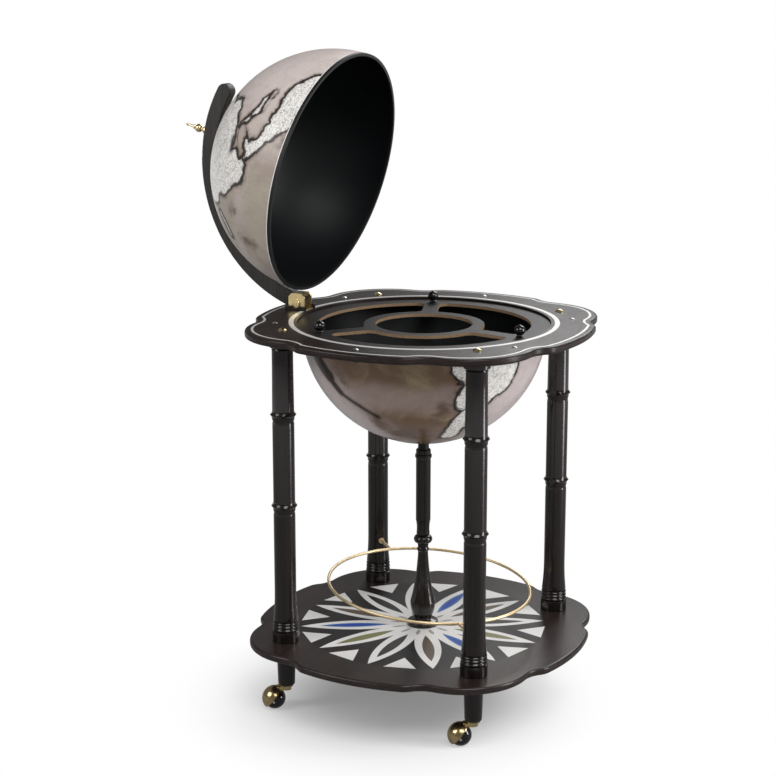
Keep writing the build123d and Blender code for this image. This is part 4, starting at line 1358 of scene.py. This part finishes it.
@dataclass
class Globe:
    """Bowl, dome, rim edging and pole fixing."""

    dresser: Dresser
    radius: float
    dome_centre: Triple
    bowl_centre: Triple
    open_angle: float = 76.5

    def build(self) -> None:
        """Dress the globe."""
        dress = self.dresser.dress
        upper = Chart(
            "northern map", self.dome_centre, self.radius, self.open_angle,
            NORTHERN_SHORES, NORTHERN_SEA,
        )
        lower = Chart(
            "southern map", self.bowl_centre, self.radius, 0.0,
            SOUTHERN_SHORES, SOUTHERN_SEA, gloss=0.45,
        )
        dress(upper, "dome")
        dress(lower, "bowl")
        dress(DARK_RIM, "lid_rim", "bowl_ring")
        dress(ARM_WOOD, "meridian_arm", "pole_spacer")
        dress(STEEL, "pole_stud", "pole_nut")
        dress(BRASS, "finial")


@dataclass
class Hinge:
    """Bracket, strips, pin and screws."""

    dresser: Dresser

    def build(self) -> None:
        """Dress the hinge."""
        self.dresser.dress(HINGE_BRASS, "hinge_bracket", "hinge_screws", "pivot_pin", "pivot_nut")
        self.dresser.dress(BOARD_WOOD, "hinge_strips")


@dataclass
class Tray:
    """Tray board, knobs and screws."""

    dresser: Dresser

    def build(self) -> None:
        """Dress the tray."""
        self.dresser.dress(TRAY, "tray")
        self.dresser.dress(BLACK, "tray_knobs")
        self.dresser.dress(STEEL, "tray_screws")


@dataclass
class Casters:
    """Four swivel casters: black ball wheels under cut brass hoods on a slim bridge."""

    dresser: Dresser
    corners: tuple[str, ...] = CORNERS
    hood_gap: float = 0.0012
    hood_wall: float = 0.0018
    hood_lean: float = 40.0
    hood_cut: float = 0.0020
    skirt: float = -0.012
    bridge_radius: float = 0.0078
    bridge_thick: float = 0.0062
    bridge_share: float = 0.5
    bridge_sides: int = 40
    ball_sides: int = 48
    ball_rings: int = 32
    edge: float = 0.0003
    edge_steps: int = 2
    smooth: float = 35.0

    def build(self) -> None:
        """Shape one hood, set its copies over the four wheels and dress the rest."""
        pattern = self._hood(self.corners[0])
        first = self._middle(f"caster_wheel_{self.corners[0]}")
        self.dresser.paint(pattern, CASTER_BRASS)
        for corner in self.corners:
            self.dresser.dress(CASTER_BRASS, f"caster_socket_{corner}")
            self.dresser.dress(BLACK, f"caster_wheel_{corner}")
            self.dresser.dress(STEEL, f"caster_axle_{corner}")
            place = self._middle(f"caster_wheel_{corner}") - first
            hood = copied(pattern, f"hood_{corner}", place)
            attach(hood, f"swivel_{corner}")
            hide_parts(f"caster_hood_{corner}")
            LOG.info("%s: %s", hood.name, CASTER_BRASS.name)
        bpy.data.objects.remove(pattern)

    def _hood(self, corner: str) -> Piece:
        """Shape a corner's hood and the bridge that joins it to its stem.

        Args:
            corner: The corner's name.

        Returns:
            The hood, its object at the origin.
        """
        wheel = self._middle(f"caster_wheel_{corner}")
        stem = self._middle(f"caster_socket_{corner}")
        low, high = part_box(f"caster_wheel_{corner}")
        inner = (high.z - low.z) / 2 + self.hood_gap
        stem.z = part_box(f"caster_socket_{corner}")[0].z - self.bridge_thick / 2
        trail = Vector((wheel.x - stem.x, wheel.y - stem.y, 0))
        shell = self._shell(wheel, inner + self.hood_wall, trail.normalized())
        bridge = self._bridge(stem, trail)
        hollow = self._ball(wheel, inner)
        cut = bridge.modifiers.new("hollow", "BOOLEAN")
        cut.operation, cut.object = "DIFFERENCE", hollow
        self._apply(bridge, cut.name)
        bpy.data.objects.remove(hollow)
        bpy.ops.object.select_all(action="DESELECT")
        for piece in (bridge, shell):
            piece.select_set(True)
        bpy.context.view_layer.objects.active = shell
        bpy.ops.object.join()
        shell.name = "hood pattern"
        return finished(shell, self.smooth)

    def _shell(self, wheel: Vector, radius: float, back: Vector) -> Piece:
        """Cut a ball to the hood's slanting edge and level skirt, and give it its wall.

        Args:
            wheel: The wheel's middle.
            radius: The hood's outer radius.
            back: The way the wheel trails.

        Returns:
            The shell.
        """
        shell = self._ball(wheel, radius)
        lean = math.radians(self.hood_lean)
        normal = back * math.cos(lean) + Vector((0, 0, math.sin(lean)))
        bpy.ops.object.mode_set(mode="EDIT")
        for place, facing in (
            (wheel + normal * self.hood_cut, normal),
            (wheel + Vector((0, 0, self.skirt)), Vector((0, 0, 1))),
        ):
            bpy.ops.mesh.select_all(action="SELECT")
            bpy.ops.mesh.bisect(plane_co=place, plane_no=facing, clear_inner=True)
        bpy.ops.object.mode_set(mode="OBJECT")
        wall = shell.modifiers.new("wall", "SOLIDIFY")
        wall.thickness, wall.offset = self.hood_wall, -1
        self._apply(shell, wall.name)
        self._soften(shell)
        return shell

    def _bridge(self, stem: Vector, trail: Vector) -> Piece:
        """Draw a round boss out along the trail into a rounded bar.

        Args:
            stem: The boss's middle.
            trail: From the stem to the wheel, level.

        Returns:
            The bar.
        """
        bridge = added(
            bpy.ops.mesh.primitive_cylinder_add,
            vertices=self.bridge_sides, radius=self.bridge_radius, depth=self.bridge_thick,
            location=stem,
        )
        bpy.ops.object.mode_set(mode="EDIT")
        bpy.ops.mesh.select_all(action="DESELECT")
        bpy.ops.object.mode_set(mode="OBJECT")
        for vertex in bridge.data.vertices:
            vertex.select = vertex.co.dot(trail) > AHEAD
        bpy.ops.object.mode_set(mode="EDIT")
        bpy.ops.transform.translate(value=trail * self.bridge_share)
        bpy.ops.object.mode_set(mode="OBJECT")
        self._soften(bridge)
        return bridge

    def _soften(self, piece: Piece) -> None:
        """Round a piece's sharp edges.

        Args:
            piece: The piece.
        """
        soft = piece.modifiers.new("edge", "BEVEL")
        soft.width, soft.segments, soft.limit_method = self.edge, self.edge_steps, "ANGLE"
        self._apply(piece, soft.name)

    def _ball(self, middle: Vector, radius: float) -> Piece:
        """Add a ball.

        Args:
            middle: Its middle.
            radius: Its radius.

        Returns:
            The ball.
        """
        return added(
            bpy.ops.mesh.primitive_uv_sphere_add,
            segments=self.ball_sides, ring_count=self.ball_rings, radius=radius, location=middle,
        )

    @staticmethod
    def _apply(piece: Piece, modifier: str) -> None:
        """Apply one modifier."""
        bpy.context.view_layer.objects.active = piece
        bpy.ops.object.modifier_apply(modifier=modifier)

    @staticmethod
    def _middle(node: str) -> Vector:
        """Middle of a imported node's box."""
        low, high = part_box(node)
        return (low + high) / 2


class Ray(Enum):
    """Kind of ray that a light is shown to."""

    ANY = ""
    GLOSSY = "Is Glossy Ray"
    CAMERA = "Is Camera Ray"


@dataclass(frozen=True)
class Lamp:
    """One soft rectangular lamp."""

    name: str
    place: Triple
    width: float
    height: float
    power: float


@dataclass
class Studio:
    """Pale floor, soft lamps and the camera."""

    camera_place: Triple = (-2.7954, -1.3222, 1.2729)
    camera_heading: Pair = (0.8957, 0.4446)
    camera_drop: float = 13.54
    lens: float = 90.1
    sensor: float = 36.0
    aim: Triple = (0.0, 0.0, 0.5)
    floor_size: float = 80.0
    floor_colour: Colour = (0.86, 0.86, 0.865)
    shadow_middle: Pair = (-0.05, 0.03)
    # Painted soft shadow round the object: its reach from the shadow middle and the white glow left
    # at that middle.
    painted_shadow_reach: Pair = (0.10, 0.40)
    painted_shadow_white: float = 0.18
    mirrored_near: Colour = (0.18, 0.18, 0.18)
    mirrored_far: Colour = (0.95, 0.95, 0.95)
    mirrored_reach: Pair = (2.4, 4.2)
    mirrored_share: float = 0.85
    daylight: tuple[tuple[float, Ray], ...] = (
        (0.27, Ray.ANY), (0.15, Ray.GLOSSY), (1.0, Ray.CAMERA),
    )
    lamps: tuple[Lamp, ...] = (
        Lamp("key", (-1.6, -1.6, 3.0), 1.8, 1.8, 58.0),
        Lamp("fill", (-2.5, 1.9, 2.3), 1.8, 1.8, 40.0),
        Lamp("back", (2.3, 0.15, 2.1), 1.7, 1.6, 33.0),
        Lamp("strip", (0.45, -2.0, 0.95), 0.50, 1.7, 30.0),
    )

    def build(self) -> None:
        """Add the floor, lamps, world and camera."""
        self._floor()
        for lamp in self.lamps:
            self._lamp(lamp)
        self._world()
        self._camera()
        bpy.context.scene.view_settings.view_transform = "Standard"

    def _floor(self) -> None:
        """Wide pale floor that glows white away from the object, its glow cut back round it as a
        painted soft shadow.
        """
        floor = added(bpy.ops.mesh.primitive_plane_add, size=self.floor_size, location=(0, 0, 0))
        floor.name = "studio floor"
        g = Graph("studio floor")
        x, y, _ = g.axes(g.coordinates())
        x, y = x - self.shadow_middle[0], y - self.shadow_middle[1]
        away = (x * x + y * y).root()
        # Painted shadow: the white glow is weakest at the shadow middle and full beyond the reach,
        # greying the floor round the object.
        far = away.step(*self.painted_shadow_reach) * (1 - self.painted_shadow_white) + self.painted_shadow_white
        g.set(Base_Color=self.floor_colour, Roughness=0.6, Specular_IOR_Level=0.2)
        shine = g.mix(away.step(*self.mirrored_reach), self.mirrored_near, self.mirrored_far)
        glow = g.node("ShaderNodeEmission", None, {"Color": (1.0, 1.0, 1.0), "Strength": 1.0})
        dim = g.node("ShaderNodeEmission", None, {"Color": shine, "Strength": 1.0})
        path = g.node("ShaderNodeLightPath")
        lit = g.mixed(far * path.value(Ray.CAMERA.value), g.shader.socket(), glow.socket())
        share = path.value(Ray.GLOSSY.value) * self.mirrored_share
        g.surface(g.mixed(share, lit, dim.socket()))
        floor.data.materials.append(g.material)

    def _lamp(self, lamp: Lamp) -> None:
        """Add one lamp, aimed at the object.

        Args:
            lamp: The lamp.
        """
        light = bpy.data.lights.new(lamp.name, "AREA")
        light.shape = "RECTANGLE"
        light.size, light.size_y = lamp.width, lamp.height
        light.energy = lamp.power
        self._place(light, lamp.place, Vector(self.aim) - Vector(lamp.place))

    def _world(self) -> None:
        """Even pale light, white where the camera sees it and dim in reflections."""
        world = bpy.data.worlds.new("studio")
        bpy.context.scene.world = world
        world.use_nodes = True
        sky = Tree(world.node_tree, "ShaderNodeOutputWorld")
        path = sky.node("ShaderNodeLightPath")
        shade: Socket | None = None
        for strength, ray in self.daylight:
            given = {"Color": (1.0, 1.0, 1.0), "Strength": strength}
            light = sky.node("ShaderNodeBackground", None, given).socket()
            if ray is not Ray.ANY:
                light = sky.mixed(path.socket(ray.value), shade, light)
            shade = light
        sky.surface(shade)

    def _camera(self) -> None:
        """Add the camera and make it the scene's."""
        camera = bpy.data.cameras.new("camera")
        camera.lens = self.lens
        camera.sensor_width = self.sensor
        camera.dof.use_dof = False
        drop = math.radians(self.camera_drop)
        across, deep = self.camera_heading
        ahead = Vector((across * math.cos(drop), deep * math.cos(drop), -math.sin(drop)))
        bpy.context.scene.camera = self._place(camera, self.camera_place, ahead)

    @staticmethod
    def _place(data: bpy.types.ID, place: Triple, ahead: Vector) -> Piece:
        """Set a lamp or a camera down.

        Args:
            data: The lamp or the camera.
            place: Where it stands.
            ahead: The way it looks.

        Returns:
            Its object.
        """
        thing = bpy.data.objects.new(data.name, data)
        bpy.context.scene.collection.objects.link(thing)
        thing.location = place
        thing.rotation_euler = ahead.to_track_quat("-Z", "Y").to_euler()
        return thing


def globe_frame(joints: Iterable[dict[str, Any]]) -> tuple[float, Vector, Vector]:
    """Find the globe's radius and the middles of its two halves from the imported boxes.

    Args:
        joints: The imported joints.

    Returns:
        The radius, the open dome's middle and the bowl's middle.
    """
    low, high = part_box("dome")
    radius = (high.x - low.x) / 2
    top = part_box("table_board")[1].z
    bowl = Vector((0, 0, top))
    lid = next(j for j in joints if j["name"] == "lid_hinge")
    pin = Vector(lid["pos_m"])
    turn = Matrix.Rotation(math.radians(-max(lid["range_deg"])), 3, "X")
    return radius, pin + turn @ (bowl - pin), bowl


def main() -> None:
    """Build the dressed part and its studio."""
    logging.basicConfig(level=logging.INFO, format="%(name)s: %(message)s")
    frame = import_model()
    bpy.ops.object.select_all(action="DESELECT")
    dresser = Dresser(frame["nodes"])
    radius, dome, bowl = globe_frame(frame["joints"])
    Stand(dresser).build()
    Legs(dresser).build()
    Globe(dresser, radius, tuple(dome), tuple(bowl)).build()
    Hinge(dresser).build()
    Tray(dresser).build()
    Casters(dresser).build()
    Studio().build()


if __name__ == "__main__":
    main()
